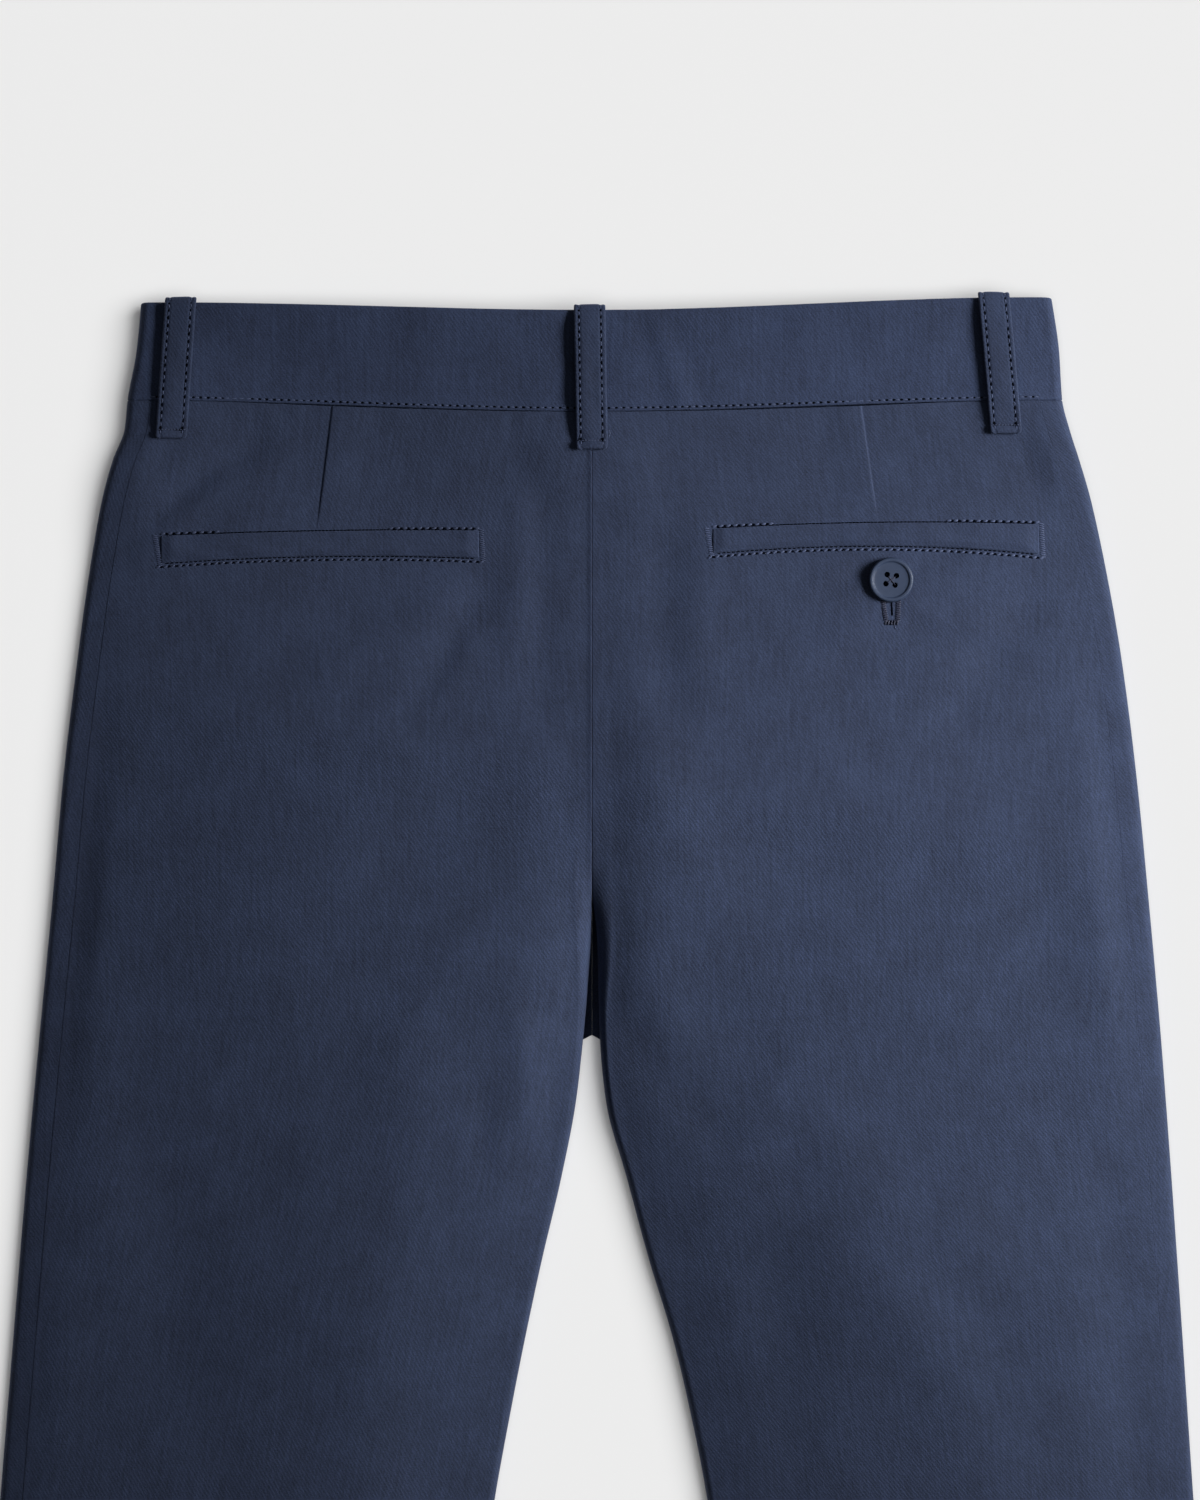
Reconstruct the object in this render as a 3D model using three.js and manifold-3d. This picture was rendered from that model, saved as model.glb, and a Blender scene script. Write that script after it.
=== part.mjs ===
// Boys' chino trousers laid flat on a table, back side up.
// Millimetres, +Z up. The waist points to +Y and the legs run to -Y. The origin is on the table,
// under the middle of the garment. "down" is the distance below the waist line, towards the hems.
// "inset" is the distance in from the outer edge of one half, towards the middle of the garment.

import * as THREE from "three";
import { mergeVertices } from "three/addons/utils/BufferGeometryUtils.js";
import Module from "manifold-3d";

const wasm = await Module();
wasm.setup();

// Cloth and seams
const PANEL_WALL = 1.2;
const BAND_WALL = 2.0;
const SEAM_GAP = 0.3;

// Levels below the waist line
const CROTCH = 251;
const HEM = 902;
const LOOP_OVERSHOOT = 1.6;
const HIGHEST = -4.4 - LOOP_OVERSHOOT;
const WAIST_Y = (HEM + HIGHEST) / 2;

// Side seam, which lies on the upper side a little inside the fold of the edge
const SIDE_SEAM_INSET = 8;
const FRONT_INSEAM_INSET = 0.6;

// How the top of a half rises from its folded edge: 2 is a parabola
const CROWN_POWER = 2;

// Outer edges of the garment laid flat, by level
const OUTLINE = [
  { down: -6, left: -155.4, right: 158.4 },
  { down: 14, left: -157.3, right: 161.3 },
  { down: 31, left: -160.4, right: 162.4 },
  { down: 41, left: -161.4, right: 164.9 },
  { down: 52, left: -165.6, right: 168.4 },
  { down: 66, left: -169.4, right: 172.5 },
  { down: 93, left: -174.2, right: 178.4 },
  { down: 121, left: -178.0, right: 183.2 },
  { down: 162, left: -182.9, right: 188.4 },
  { down: 204, left: -186.6, right: 192.5 },
  { down: 251, left: -191.1, right: 196.7 },
  { down: 300, left: -195.6, right: 200.4 },
  { down: 355, left: -200.1, right: 204.2 },
  { down: 410, left: -204.6, right: 207.9 },
  { down: 600, left: -220.5, right: 221.5 },
  { down: 902, left: -244.0, right: 244.0 },
];

// Inner edges: the centre back seam, the fork of the crotch, then the inside of each leg
const FORK = [
  { down: -10, left: -0.15, right: 0.15 },
  { down: 197, left: -0.15, right: 0.15 },
  { down: 217, left: -0.3, right: 1.7 },
  { down: 235, left: -1.5, right: 2.2 },
  { down: 251, left: -3.0, right: 2.7 },
  { down: 273, left: -5.5, right: 4.8 },
  { down: 300, left: -10.7, right: 12.1 },
  { down: 328, left: -17.3, right: 19.7 },
  { down: 355, left: -23.1, right: 27.9 },
  { down: 383, left: -28.6, right: 34.5 },
  { down: 410, left: -33.5, right: 39.7 },
  { down: 600, left: -62.0, right: 66.0 },
  { down: 902, left: -101.5, right: 101.5 },
];

// Thickness of the garment: radius of the folded edge, rise of the upper side above that fold,
// floor (how far the lower side is held off the table), split (0 over the seat, where the two
// halves are one crown, 1 where each leg has its own crown) and roll of the inner edge
const FORM = [
  { down: -10, radius: 3.3, rise: 4.6, floor: 2.7, split: 0, roll: 0 },
  { down: 34, radius: 3.2, rise: 5.0, floor: 2.7, split: 0, roll: 0 },
  { down: 52, radius: 3.1, rise: 6.0, floor: 2.7, split: 0, roll: 0 },
  { down: 92, radius: 3.0, rise: 8.4, floor: 0, split: 0, roll: 0 },
  { down: 140, radius: 3.0, rise: 9.0, floor: 0, split: 0.05, roll: 0 },
  { down: 190, radius: 3.0, rise: 9.0, floor: 0, split: 0.3, roll: 0 },
  { down: 225, radius: 3.0, rise: 8.8, floor: 0, split: 0.7, roll: 0.55 },
  { down: 250, radius: 3.0, rise: 8.5, floor: 0, split: 1, roll: 1 },
  { down: 400, radius: 3.0, rise: 7.8, floor: 0, split: 1, roll: 1 },
  { down: 600, radius: 3.0, rise: 6.8, floor: 0, split: 1, roll: 1 },
  { down: 902, radius: 2.8, rise: 5.2, floor: 0, split: 1, roll: 1 },
];

// The waistband's edges at the side fold, the centre back and the centre front
const BAND = {
  left: { topSide: -2.6, topBack: 0.3, topFront: 7, seamSide: 31.2, seamBack: 35.2, seamFront: 41.5 },
  right: { topSide: -4.4, topBack: 0.3, topFront: 7, seamSide: 31.2, seamBack: 35.2, seamFront: 41.5 },
};

// Levels of the panels' rows, closer together over the seat and the fork
const PANEL_LEVELS = [
  34, 44, 54, 65, 76, 87, 98, 110, 122, 135, 148, 161, 174, 187, 199, 210, 221, 231, 241, 250.8,
  252.2, 262, 274, 288, 304, 322, 342, 364, 390, 425, 475, 535, 600, 690, 800, 902,
];
const SEAM_CURVE_REACH = 60;

// Shares of the upper side's width at which the columns stand. The dart is at 0.5.
const BACK_COLUMNS = [0, 0.07, 0.15, 0.24, 0.33, 0.42, 0.49, 0.5, 0.51, 0.58, 0.66, 0.75, 0.84, 0.92, 1];
const ROLL_STEPS = 4;
const BOTTOM_COLUMNS = [1, 0.74, 0.5, 0.28, 0.1];
const EDGE_STEPS = 5;
const BAND_ROWS = [0, 0.33, 0.67, 1];
const BAND_TOP_COLUMNS = [1, 0.85, 0.7, 0.55, 0.4, 0.26, 0.14, 0.05];

// Darts of the back panels, from the waist seam to just above the pockets
const DART = {
  left: { fromX: -89.7, toX: -95.0, from: 33.6, to: 75.8, depth: 0.5 },
  right: { fromX: 93.0, toX: 98.5, from: 34.5, to: 72.3, depth: 0.5 },
};
const DART_FADE = 220;
const DART_RUN_OUT = 12;

// The largest folds of the upper side: ends, half width and height (below zero is a trough)
const FOLDS = {
  left: [
    { x: -38, down: 96, toX: -60, toDown: 142, width: 8, height: -1.0 },
    { x: -54, down: 104, toX: -90, toDown: 124, width: 9, height: 0.7 },
    { x: -16, down: 66, toX: -16, toDown: 135, width: 8, height: -0.7 },
    { x: -116, down: 46, toX: -142, toDown: 62, width: 7, height: -0.9 },
    { x: -60, down: 262, toX: -92, toDown: 520, width: 17, height: 1.3 },
    { x: -112, down: 265, toX: -150, toDown: 560, width: 24, height: -1.4 },
    { x: -168, down: 540, toX: -196, toDown: 640, width: 16, height: -1.0 },
    { x: -120, down: 640, toX: -170, toDown: 820, width: 20, height: 0.8 },
  ],
  right: [
    { x: 24, down: 88, toX: 26, toDown: 132, width: 9, height: -0.9 },
    { x: 38, down: 78, toX: 36, toDown: 118, width: 8, height: 0.6 },
    { x: 150, down: 102, toX: 128, toDown: 136, width: 9, height: -0.8 },
    { x: 72, down: 298, toX: 140, toDown: 354, width: 15, height: -1.2 },
    { x: 84, down: 318, toX: 126, toDown: 312, width: 12, height: 0.7 },
    { x: 60, down: 330, toX: 92, toDown: 560, width: 14, height: -0.9 },
    { x: 168, down: 520, toX: 130, toDown: 620, width: 18, height: -1.0 },
    { x: 150, down: 660, toX: 178, toDown: 840, width: 20, height: 0.8 },
  ],
};
const FOLD_CLEAR_OF_EDGE = 12;

// Welts of the two back pockets: ends, with the levels of their upper and lower edges
const WELT = {
  left: { fromX: -148.7, toX: -39.0, top: [78.0, 76.4, 76.2], bottom: [87.3, 84.9, 85.6] },
  right: { fromX: 41.6, toX: 154.2, top: [75.6, 73.6, 74.0], bottom: [84.0, 81.4, 84.2] },
};
const WELT_WALL = 1.0;
const WELT_LIFT = 0.4;
const WELT_COLUMNS = 12;

// Belt loops: place along the waist at the upper and lower end, and how far the strap stands
// clear of the band. The outer two stand over a sloping part of the band, so they clear it by more.
const LOOP_WIDTH = 10.9;
const LOOP_WALL = 1.3;
const BACK_LOOPS = [
  { name: "belt_loop_back_left", side: "left", topX: -141.7, endX: -145.1, end: 44.3, clear: 5.1 },
  { name: "belt_loop_back_center", side: "right", topX: -0.8, endX: 0, end: 48.2, clear: 4.4 },
  { name: "belt_loop_back_right", side: "right", topX: 138.4, endX: 142.7, end: 42.7, clear: 5.1 },
];
const FRONT_LOOPS = [
  { name: "belt_loop_front_left", side: "left", topX: -82, endX: -84, end: 48 },
  { name: "belt_loop_front_right", side: "right", topX: 82, endX: 84, end: 48 },
];

// Buttons with four holes
const BUTTON_RADIUS = 7.5;
const BUTTON_HEIGHT = 2.4;
const BUTTON_RIM = 1.3;
const BUTTON_DISH = 0.8;
const BUTTON_HOLE_RADIUS = 0.95;
const BUTTON_HOLE_PITCH = 3.2;
const BUTTON_SIDES = 24;
const BUTTON_HOLE_SIDES = 8;
const POCKET_BUTTON = { x: 102.5, down: 93.2, turn: -0.14, lift: 0.45 };
const WAIST_BUTTON = { x: -9.5, down: 24, turn: 0.1 };

// Cloth and button colours
const NAVY_TWILL = new THREE.MeshStandardMaterial({ color: 0x3a4460, roughness: 0.9, metalness: 0 });
const NAVY_BAND = new THREE.MeshStandardMaterial({ color: 0x3c4663, roughness: 0.9, metalness: 0 });
const NAVY_BUTTON = new THREE.MeshStandardMaterial({ color: 0x44526a, roughness: 0.25, metalness: 0 });

const SIGN = { left: -1, right: 1 };

// Value of one column of a table at a level, on a smooth curve that never overshoots a row
function along(table, column, down) {
  const last = table.length - 1;
  const level = Math.min(Math.max(down, table[0].down), table[last].down);
  let row = 0;
  while (row < last - 1 && level > table[row + 1].down) {
    row += 1;
  }
  const slopeOf = (k) => (table[k + 1][column] - table[k][column]) / (table[k + 1].down - table[k].down);
  const tangentAt = (k) => {
    if (k === 0 || k === last) {
      return slopeOf(Math.min(k, last - 1));
    }
    const before = slopeOf(k - 1);
    const after = slopeOf(k);
    return before * after <= 0 ? 0 : (2 * before * after) / (before + after);
  };
  const span = table[row + 1].down - table[row].down;
  const t = (level - table[row].down) / span;
  const first = table[row][column] * (1 + 2 * t) * (1 - t) ** 2;
  const second = table[row + 1][column] * t * t * (3 - 2 * t);
  const bend = tangentAt(row) * span * t * (1 - t) ** 2 - tangentAt(row + 1) * span * t * t * (1 - t);
  return first + second + bend;
}

function smoothstep(from, to, value) {
  const t = Math.min(Math.max((value - from) / (to - from), 0), 1);
  return t * t * (3 - 2 * t);
}

// Everything that a cross section of one half needs at a level
function sectionAt(side, down) {
  const outer = along(OUTLINE, side, down);
  const inner = along(FORK, side, down);
  const radius = along(FORM, "radius", down);
  const rise = along(FORM, "rise", down);
  const floor = along(FORM, "floor", down);
  const split = along(FORM, "split", down);
  const roll = along(FORM, "roll", down);
  const width = Math.abs(outer - inner);
  const slopeWidth = width - 2 * radius;
  const outerSlope = Math.atan(((1 + split) * CROWN_POWER * rise) / slopeWidth);
  const innerSlope = Math.atan((2 * split * CROWN_POWER * rise) / slopeWidth);
  const crownStart = radius * (1 - Math.sin(outerSlope));
  const foldHeight = floor + radius * (1 + Math.cos(outerSlope));
  const rollEnd = Math.acos((PANEL_WALL + SEAM_GAP) / radius - 1);
  const stripLength = radius * (rollEnd - innerSlope);
  const bend = roll / radius;
  const tip = Math.min(innerSlope + bend * stripLength, Math.PI / 2);
  const reach = bend < 1e-4
    ? stripLength * Math.cos(innerSlope)
    : (Math.sin(tip) - Math.sin(innerSlope)) / bend;
  const crownEnd = width - reach;
  return {
    outer, inner, radius, rise, floor, split, width, outerSlope, innerSlope,
    crownStart, crownEnd, foldHeight, stripLength, bend,
  };
}

// Height of the upper side between its outer fold and its inner edge: over the seat half of a
// crown that is level at the centre back, below the fork a whole crown for each leg
function crownHeight(section, inset) {
  const share = (inset - section.crownStart) / (section.crownEnd - section.crownStart);
  const seat = 1 - Math.abs(1 - share) ** CROWN_POWER;
  const leg = 1 - Math.abs(2 * share - 1) ** CROWN_POWER;
  return section.foldHeight + section.rise * ((1 - section.split) * seat + section.split * leg);
}

// Height of the folds and the dart at a place on the upper side
function foldRelief(side, section, inset, down) {
  const x = section.outer - SIGN[side] * inset;
  const insideOuter = smoothstep(SIDE_SEAM_INSET, SIDE_SEAM_INSET + FOLD_CLEAR_OF_EDGE, inset);
  const insideInner = smoothstep(0, FOLD_CLEAR_OF_EDGE, section.crownEnd - inset);
  let height = 0;
  for (const fold of FOLDS[side]) {
    const runX = fold.toX - fold.x;
    const runDown = fold.toDown - fold.down;
    const length = Math.hypot(runX, runDown);
    const forward = ((x - fold.x) * runX + (down - fold.down) * runDown) / length;
    const sideways = ((x - fold.x) * runDown - (down - fold.down) * runX) / length;
    const beyond = Math.max(0, -forward, forward - length);
    height += fold.height * Math.exp(-((sideways ** 2 + beyond ** 2) / fold.width ** 2));
  }
  return height * insideOuter * insideInner;
}

// Inset of the dart's line, which below the dart drifts to the middle of the leg
function dartInset(side, section, down) {
  const dart = DART[side];
  const share = Math.min(Math.max((down - dart.from) / (dart.to - dart.from), 0), 1);
  const x = dart.fromX + (dart.toX - dart.fromX) * share;
  const onDart = Math.abs(section.outer - x);
  const middle = (SIDE_SEAM_INSET + section.crownEnd) / 2;
  return onDart + (middle - onDart) * smoothstep(dart.to, dart.to + DART_FADE, down);
}

// A point of the upper side, as x and height in the plane of its section
function upperPoint(side, section, inset, down) {
  const height = crownHeight(section, inset) + foldRelief(side, section, inset, down);
  return { x: section.outer - SIGN[side] * inset, z: height };
}

// Height of the upper side under any x, for what lies on it
function surfaceHeight(side, x, down) {
  const section = sectionAt(side, down);
  const inset = Math.min(SIGN[side] * (section.outer - x), section.width);
  return crownHeight(section, inset) + foldRelief(side, section, inset, down);
}

// Points moved along the normals of their line, towards the inside of the wall
function moveInside(line, distance, facing) {
  return line.map((point, k) => {
    const before = line[Math.max(k - 1, 0)];
    const after = line[Math.min(k + 1, line.length - 1)];
    const runX = after.x - before.x;
    const runZ = after.z - before.z;
    const length = Math.hypot(runX, runZ);
    return {
      x: point.x - (facing * distance * runZ) / length,
      z: point.z + (facing * distance * runX) / length,
      down: point.down,
    };
  });
}

// One closed body between an outer and an inner grid of points
function closedSheet(outer, inner) {
  const rows = outer.length;
  const columns = outer[0].length;
  const positions = [];
  for (const grid of [outer, inner]) {
    for (const row of grid) {
      for (const point of row) {
        positions.push(point.x, WAIST_Y - point.down, point.z);
      }
    }
  }
  const at = (layer, row, column) => layer * rows * columns + row * columns + column;
  const index = [];
  const quad = (a, b, c, d) => index.push(a, b, c, a, c, d);
  for (let r = 0; r < rows - 1; r += 1) {
    for (let c = 0; c < columns - 1; c += 1) {
      quad(at(0, r, c), at(0, r, c + 1), at(0, r + 1, c + 1), at(0, r + 1, c));
      quad(at(1, r, c), at(1, r + 1, c), at(1, r + 1, c + 1), at(1, r, c + 1));
    }
  }
  for (let r = 0; r < rows - 1; r += 1) {
    quad(at(0, r + 1, 0), at(1, r + 1, 0), at(1, r, 0), at(0, r, 0));
    quad(at(0, r, columns - 1), at(1, r, columns - 1), at(1, r + 1, columns - 1), at(0, r + 1, columns - 1));
  }
  for (let c = 0; c < columns - 1; c += 1) {
    quad(at(0, 0, c), at(1, 0, c), at(1, 0, c + 1), at(0, 0, c + 1));
    quad(at(0, rows - 1, c + 1), at(1, rows - 1, c + 1), at(1, rows - 1, c), at(0, rows - 1, c));
  }
  return facingOut(positions, index);
}

// A geometry whose faces point out, whichever way the grid ran
function facingOut(positions, index) {
  const corner = (k) => new THREE.Vector3().fromArray(positions, 3 * index[k]);
  let volume = 0;
  for (let k = 0; k < index.length; k += 3) {
    volume += corner(k).dot(corner(k + 1).cross(corner(k + 2)));
  }
  const order = volume > 0 ? index : index.slice().reverse();
  const geometry = new THREE.BufferGeometry();
  geometry.setAttribute("position", new THREE.Float32BufferAttribute(positions, 3));
  geometry.setIndex(order);
  geometry.computeVertexNormals();
  return geometry;
}

function namedMesh(name, geometry, material) {
  const mesh = new THREE.Mesh(geometry, material);
  mesh.name = name;
  return mesh;
}

// Level of the waist seam or the waistband's top at an inset, on the back or the front
function bandLevel(side, edge, face, share) {
  const levels = BAND[side];
  const atSide = levels[`${edge}Side`];
  const atCentre = levels[`${edge}${face}`];
  return atSide + (atCentre - atSide) * smoothstep(0, 1, share);
}

// Level of a panel's point: the first rows follow the curve of the waist seam
function panelLevel(side, face, share, rowLevel) {
  const seam = bandLevel(side, "seam", face, share) + SEAM_GAP / 2;
  const firstRow = PANEL_LEVELS[0];
  const follow = Math.max(0, 1 - (rowLevel - firstRow) / SEAM_CURVE_REACH);
  return rowLevel + (seam - firstRow) * follow;
}

// A back panel with its leg: from the side seam over the crown to the centre back seam, and
// below the fork rolled down over the inner edge of the leg to the inseam
function backPanel(side) {
  const outer = [];
  for (const rowLevel of PANEL_LEVELS) {
    const line = [];
    for (const share of BACK_COLUMNS) {
      const down = panelLevel(side, "Back", share, rowLevel);
      const section = sectionAt(side, down);
      const start = SIDE_SEAM_INSET + SEAM_GAP / 2;
      const dart = dartInset(side, section, down);
      const inset = share < 0.5
        ? start + (dart - start) * (share / 0.5)
        : dart + (section.crownEnd - dart) * ((share - 0.5) / 0.5);
      const point = upperPoint(side, section, inset, down);
      if (share === 0.5) {
        const { depth, to } = DART[side];
        point.z -= depth * (1 - smoothstep(to - DART_RUN_OUT, to, down));
      }
      line.push({ ...point, down });
    }
    const edge = line[line.length - 1];
    const section = sectionAt(side, edge.down);
    for (let step = 1; step <= ROLL_STEPS; step += 1) {
      const run = (section.stripLength * step) / ROLL_STEPS;
      const turned = section.innerSlope + section.bend * run;
      const flat = section.bend < 1e-4;
      const across = flat
        ? run * Math.cos(section.innerSlope)
        : (Math.sin(turned) - Math.sin(section.innerSlope)) / section.bend;
      const drop = flat
        ? run * Math.sin(section.innerSlope)
        : (Math.cos(section.innerSlope) - Math.cos(turned)) / section.bend;
      line.push({ x: edge.x - SIGN[side] * across, z: edge.z - drop, down: edge.down });
    }
    outer.push(line);
  }
  const inner = outer.map((line) => moveInside(line, PANEL_WALL, SIGN[side]));
  return closedSheet(outer, inner);
}

// The outer fold of a section, from the lower side round to the start of the crown
function foldedEdge(side, section, down) {
  const points = [];
  for (let step = 0; step <= EDGE_STEPS; step += 1) {
    const angle = -Math.PI / 2 + ((Math.PI - section.outerSlope) * step) / EDGE_STEPS;
    const inset = section.radius * (1 - Math.cos(angle));
    const z = section.floor + section.radius * (1 + Math.sin(angle));
    points.push({ x: section.outer - SIGN[side] * inset, z, down });
  }
  return points;
}

// A front panel with its leg: flat on the table from the centre front or the inseam, then
// round the folded edge and on to the side seam
function frontPanel(side) {
  const outer = [];
  for (const rowLevel of PANEL_LEVELS) {
    const line = [];
    for (const share of BOTTOM_COLUMNS) {
      const down = panelLevel(side, "Front", share, rowLevel);
      const section = sectionAt(side, down);
      const inner = down < CROTCH
        ? (SIGN[side] * SEAM_GAP) / 2
        : section.inner + SIGN[side] * FRONT_INSEAM_INSET;
      const edge = section.outer - SIGN[side] * section.radius;
      line.push({ x: edge + (inner - edge) * share, z: section.floor, down });
    }
    const sideLevel = panelLevel(side, "Front", 0, rowLevel);
    const section = sectionAt(side, sideLevel);
    line.push(...foldedEdge(side, section, sideLevel));
    const end = SIDE_SEAM_INSET - SEAM_GAP / 2;
    for (const share of [0.5, 1]) {
      const inset = section.crownStart + (end - section.crownStart) * share;
      line.push({ ...upperPoint(side, section, inset, sideLevel), down: sideLevel });
    }
    outer.push(line);
  }
  const inner = outer.map((line) => moveInside(line, PANEL_WALL, SIGN[side]));
  return closedSheet(outer, inner);
}

// One half of the waistband: from the centre back over the crown, round the side fold, and
// under to the centre front
function waistbandHalf(side) {
  const outer = [];
  for (const height of BAND_ROWS) {
    const line = [];
    const levelAt = (face, share) => {
      const top = bandLevel(side, "top", face, share);
      const seam = bandLevel(side, "seam", face, share) - SEAM_GAP / 2;
      return top + (seam - top) * height;
    };
    for (const share of BAND_TOP_COLUMNS) {
      const down = levelAt("Back", share);
      const section = sectionAt(side, down);
      const inset = section.crownStart + (section.width - section.crownStart) * share;
      const z = crownHeight(section, Math.min(inset, section.crownEnd));
      line.push({ x: section.outer - SIGN[side] * inset, z, down });
    }
    const sideLevel = levelAt("Back", 0);
    line.push(...foldedEdge(side, sectionAt(side, sideLevel), sideLevel).reverse());
    for (const share of BOTTOM_COLUMNS.slice().reverse()) {
      const down = levelAt("Front", share);
      const section = sectionAt(side, down);
      const edge = section.outer - SIGN[side] * section.radius;
      line.push({ x: edge + (section.inner - edge) * share, z: section.floor, down });
    }
    outer.push(line);
  }
  const inner = outer.map((line) => moveInside(line, BAND_WALL, -SIGN[side]));
  return closedSheet(outer, inner);
}

// A value on the curve through the start, middle and end of a welt's edge
function bowed(levels, share) {
  const [start, middle, end] = levels;
  const bow = middle - (start + end) / 2;
  return start + (end - start) * share + 4 * bow * share * (1 - share);
}

// The welt of a back pocket, made from the panel's points moved out
function pocketWelt(side) {
  const welt = WELT[side];
  const lower = [];
  const upper = [];
  for (const across of [0, 0.5, 1]) {
    const lowerLine = [];
    const upperLine = [];
    for (let step = 0; step <= WELT_COLUMNS; step += 1) {
      const share = step / WELT_COLUMNS;
      const x = welt.fromX + (welt.toX - welt.fromX) * share;
      const top = bowed(welt.top, share);
      const down = top + (bowed(welt.bottom, share) - top) * across;
      const z = surfaceHeight(side, x, down) + WELT_LIFT;
      lowerLine.push({ x, z, down });
      upperLine.push({ x, z: z + WELT_WALL, down });
    }
    lower.push(lowerLine);
    upper.push(upperLine);
  }
  return closedSheet(upper, lower);
}

// A belt loop as a strap that follows a line of levels and lifts off the cloth below it.
// heightAt gives the cloth's height, and outward is 1 on the upper side and -1 underneath.
function strap(loop, stations, heightAt, outward) {
  const curve = new THREE.CatmullRomCurve3(
    stations.map((station) => new THREE.Vector3(station.down, station.lift, 0)), false, "centripetal",
  );
  const steps = 3 * (stations.length - 1);
  const points = curve.getPoints(steps);
  const first = stations[0].down;
  const layers = [LOOP_WALL / 2, -LOOP_WALL / 2].map((offset) => points.map((point, k) => {
    const tangent = curve.getTangent(k / steps);
    const flatTangent = points[Math.min(k + 1, steps)].clone().sub(points[Math.max(k - 1, 0)]);
    const run = k === 0 || k === steps ? tangent : flatTangent.normalize();
    const line = [];
    for (const across of [-0.5, -0.17, 0.17, 0.5]) {
      const share = (point.x - first) / (loop.end - first);
      const x = loop.topX + (loop.endX - loop.topX) * share + LOOP_WIDTH * across;
      const lift = point.y + offset * run.x;
      const down = point.x - offset * run.y;
      line.push({ x, z: heightAt(x, down) + outward * lift, down });
    }
    return line;
  }));
  return closedSheet(layers[0], layers[1]);
}

// A belt loop of the back, which stands clear of the band so that a belt passes under it
function backLoop(loop) {
  const section = sectionAt(loop.side, 0);
  const share = 1 - Math.abs(loop.topX) / Math.abs(section.outer);
  const bandTop = bandLevel(loop.side, "top", "Back", share);
  const touching = SEAM_GAP + LOOP_WALL / 2 + 0.1;
  const raised = loop.clear + LOOP_WALL / 2;
  const overEdge = bandTop - touching;
  const stations = [
    { down: overEdge, lift: -BAND_WALL * 0.7 },
    { down: overEdge, lift: 0.6 },
    { down: bandTop + 1.4, lift: 3.6 },
    { down: bandTop + 6, lift: raised },
    { down: 20, lift: raised },
    { down: 31, lift: raised },
    { down: loop.end - 6, lift: 2.6 },
    { down: loop.end - 3, lift: touching + 0.1 },
    { down: loop.end, lift: touching },
  ];
  const heightAt = (x, down) => {
    const side = x < 0 ? "left" : "right";
    const level = Math.max(down, bandTop);
    return surfaceHeight(side, x, level);
  };
  return namedMesh(loop.name, strap(loop, stations, heightAt, 1), NAVY_BAND);
}

// A belt loop of the front, pressed flat under the band that lies on it
function frontLoop(loop) {
  const section = sectionAt(loop.side, 0);
  const share = 1 - Math.abs(loop.topX) / Math.abs(section.outer);
  const bandTop = bandLevel(loop.side, "top", "Front", share);
  const pressed = SEAM_GAP + LOOP_WALL / 2;
  const stations = [
    { down: bandTop - 1, lift: pressed },
    { down: 16, lift: pressed + 0.2 },
    { down: 32, lift: pressed + 0.2 },
    { down: loop.end, lift: pressed },
  ];
  const heightAt = () => along(FORM, "floor", 0);
  return namedMesh(loop.name, strap(loop, stations, heightAt, -1), NAVY_BAND);
}

function solidOf(geometry) {
  const bare = geometry.clone();
  bare.deleteAttribute("normal");
  bare.deleteAttribute("uv");
  const merged = mergeVertices(bare, 1e-4);
  return new wasm.Manifold(new wasm.Mesh({
    numProp: 3,
    vertProperties: new Float32Array(merged.attributes.position.array),
    triVerts: new Uint32Array(merged.index.array),
  }));
}

// A turned button: raised rim, sunk middle and four holes, standing on its flat back
function buttonGeometry() {
  const rimTop = BUTTON_RADIUS - 0.7;
  const profile = [
    [0, 0],
    [BUTTON_RADIUS - 1.0, 0],
    [BUTTON_RADIUS - 0.25, 0.35],
    [BUTTON_RADIUS, 1.05],
    [BUTTON_RADIUS - 0.15, 1.75],
    [rimTop, BUTTON_HEIGHT],
    [rimTop - BUTTON_RIM * 0.5, BUTTON_HEIGHT - 0.12],
    [rimTop - BUTTON_RIM, BUTTON_HEIGHT - BUTTON_DISH],
    [0, BUTTON_HEIGHT - BUTTON_DISH - 0.1],
  ];
  const body = new THREE.LatheGeometry(profile.map(([r, z]) => new THREE.Vector2(r, z)), BUTTON_SIDES);
  body.rotateX(Math.PI / 2);
  let solid = solidOf(body);
  for (const [x, y] of [[-0.5, -0.5], [0.5, -0.5], [0.5, 0.5], [-0.5, 0.5]]) {
    const hole = new THREE.CylinderGeometry(BUTTON_HOLE_RADIUS, BUTTON_HOLE_RADIUS, 8, BUTTON_HOLE_SIDES);
    hole.rotateX(Math.PI / 2);
    hole.translate(x * BUTTON_HOLE_PITCH, y * BUTTON_HOLE_PITCH, 0);
    solid = solid.subtract(solidOf(hole));
  }
  const mesh = solid.getMesh();
  const geometry = new THREE.BufferGeometry();
  geometry.setAttribute("position", new THREE.Float32BufferAttribute(mesh.vertProperties, 3));
  geometry.setIndex(new THREE.BufferAttribute(mesh.triVerts, 1));
  geometry.computeVertexNormals();
  return geometry;
}

// The button of the right back pocket, fastened, lying square on the cloth under it
function pocketButton() {
  const { x, down, turn, lift } = POCKET_BUTTON;
  const z = surfaceHeight("right", x, down);
  const slopeX = (surfaceHeight("right", x + 5, down) - surfaceHeight("right", x - 5, down)) / 10;
  const mesh = namedMesh("back_pocket_button", buttonGeometry(), NAVY_BUTTON);
  mesh.position.set(x, WAIST_Y - down, z + lift);
  mesh.rotation.set(0, -Math.atan(slopeX), turn);
  return mesh;
}

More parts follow.
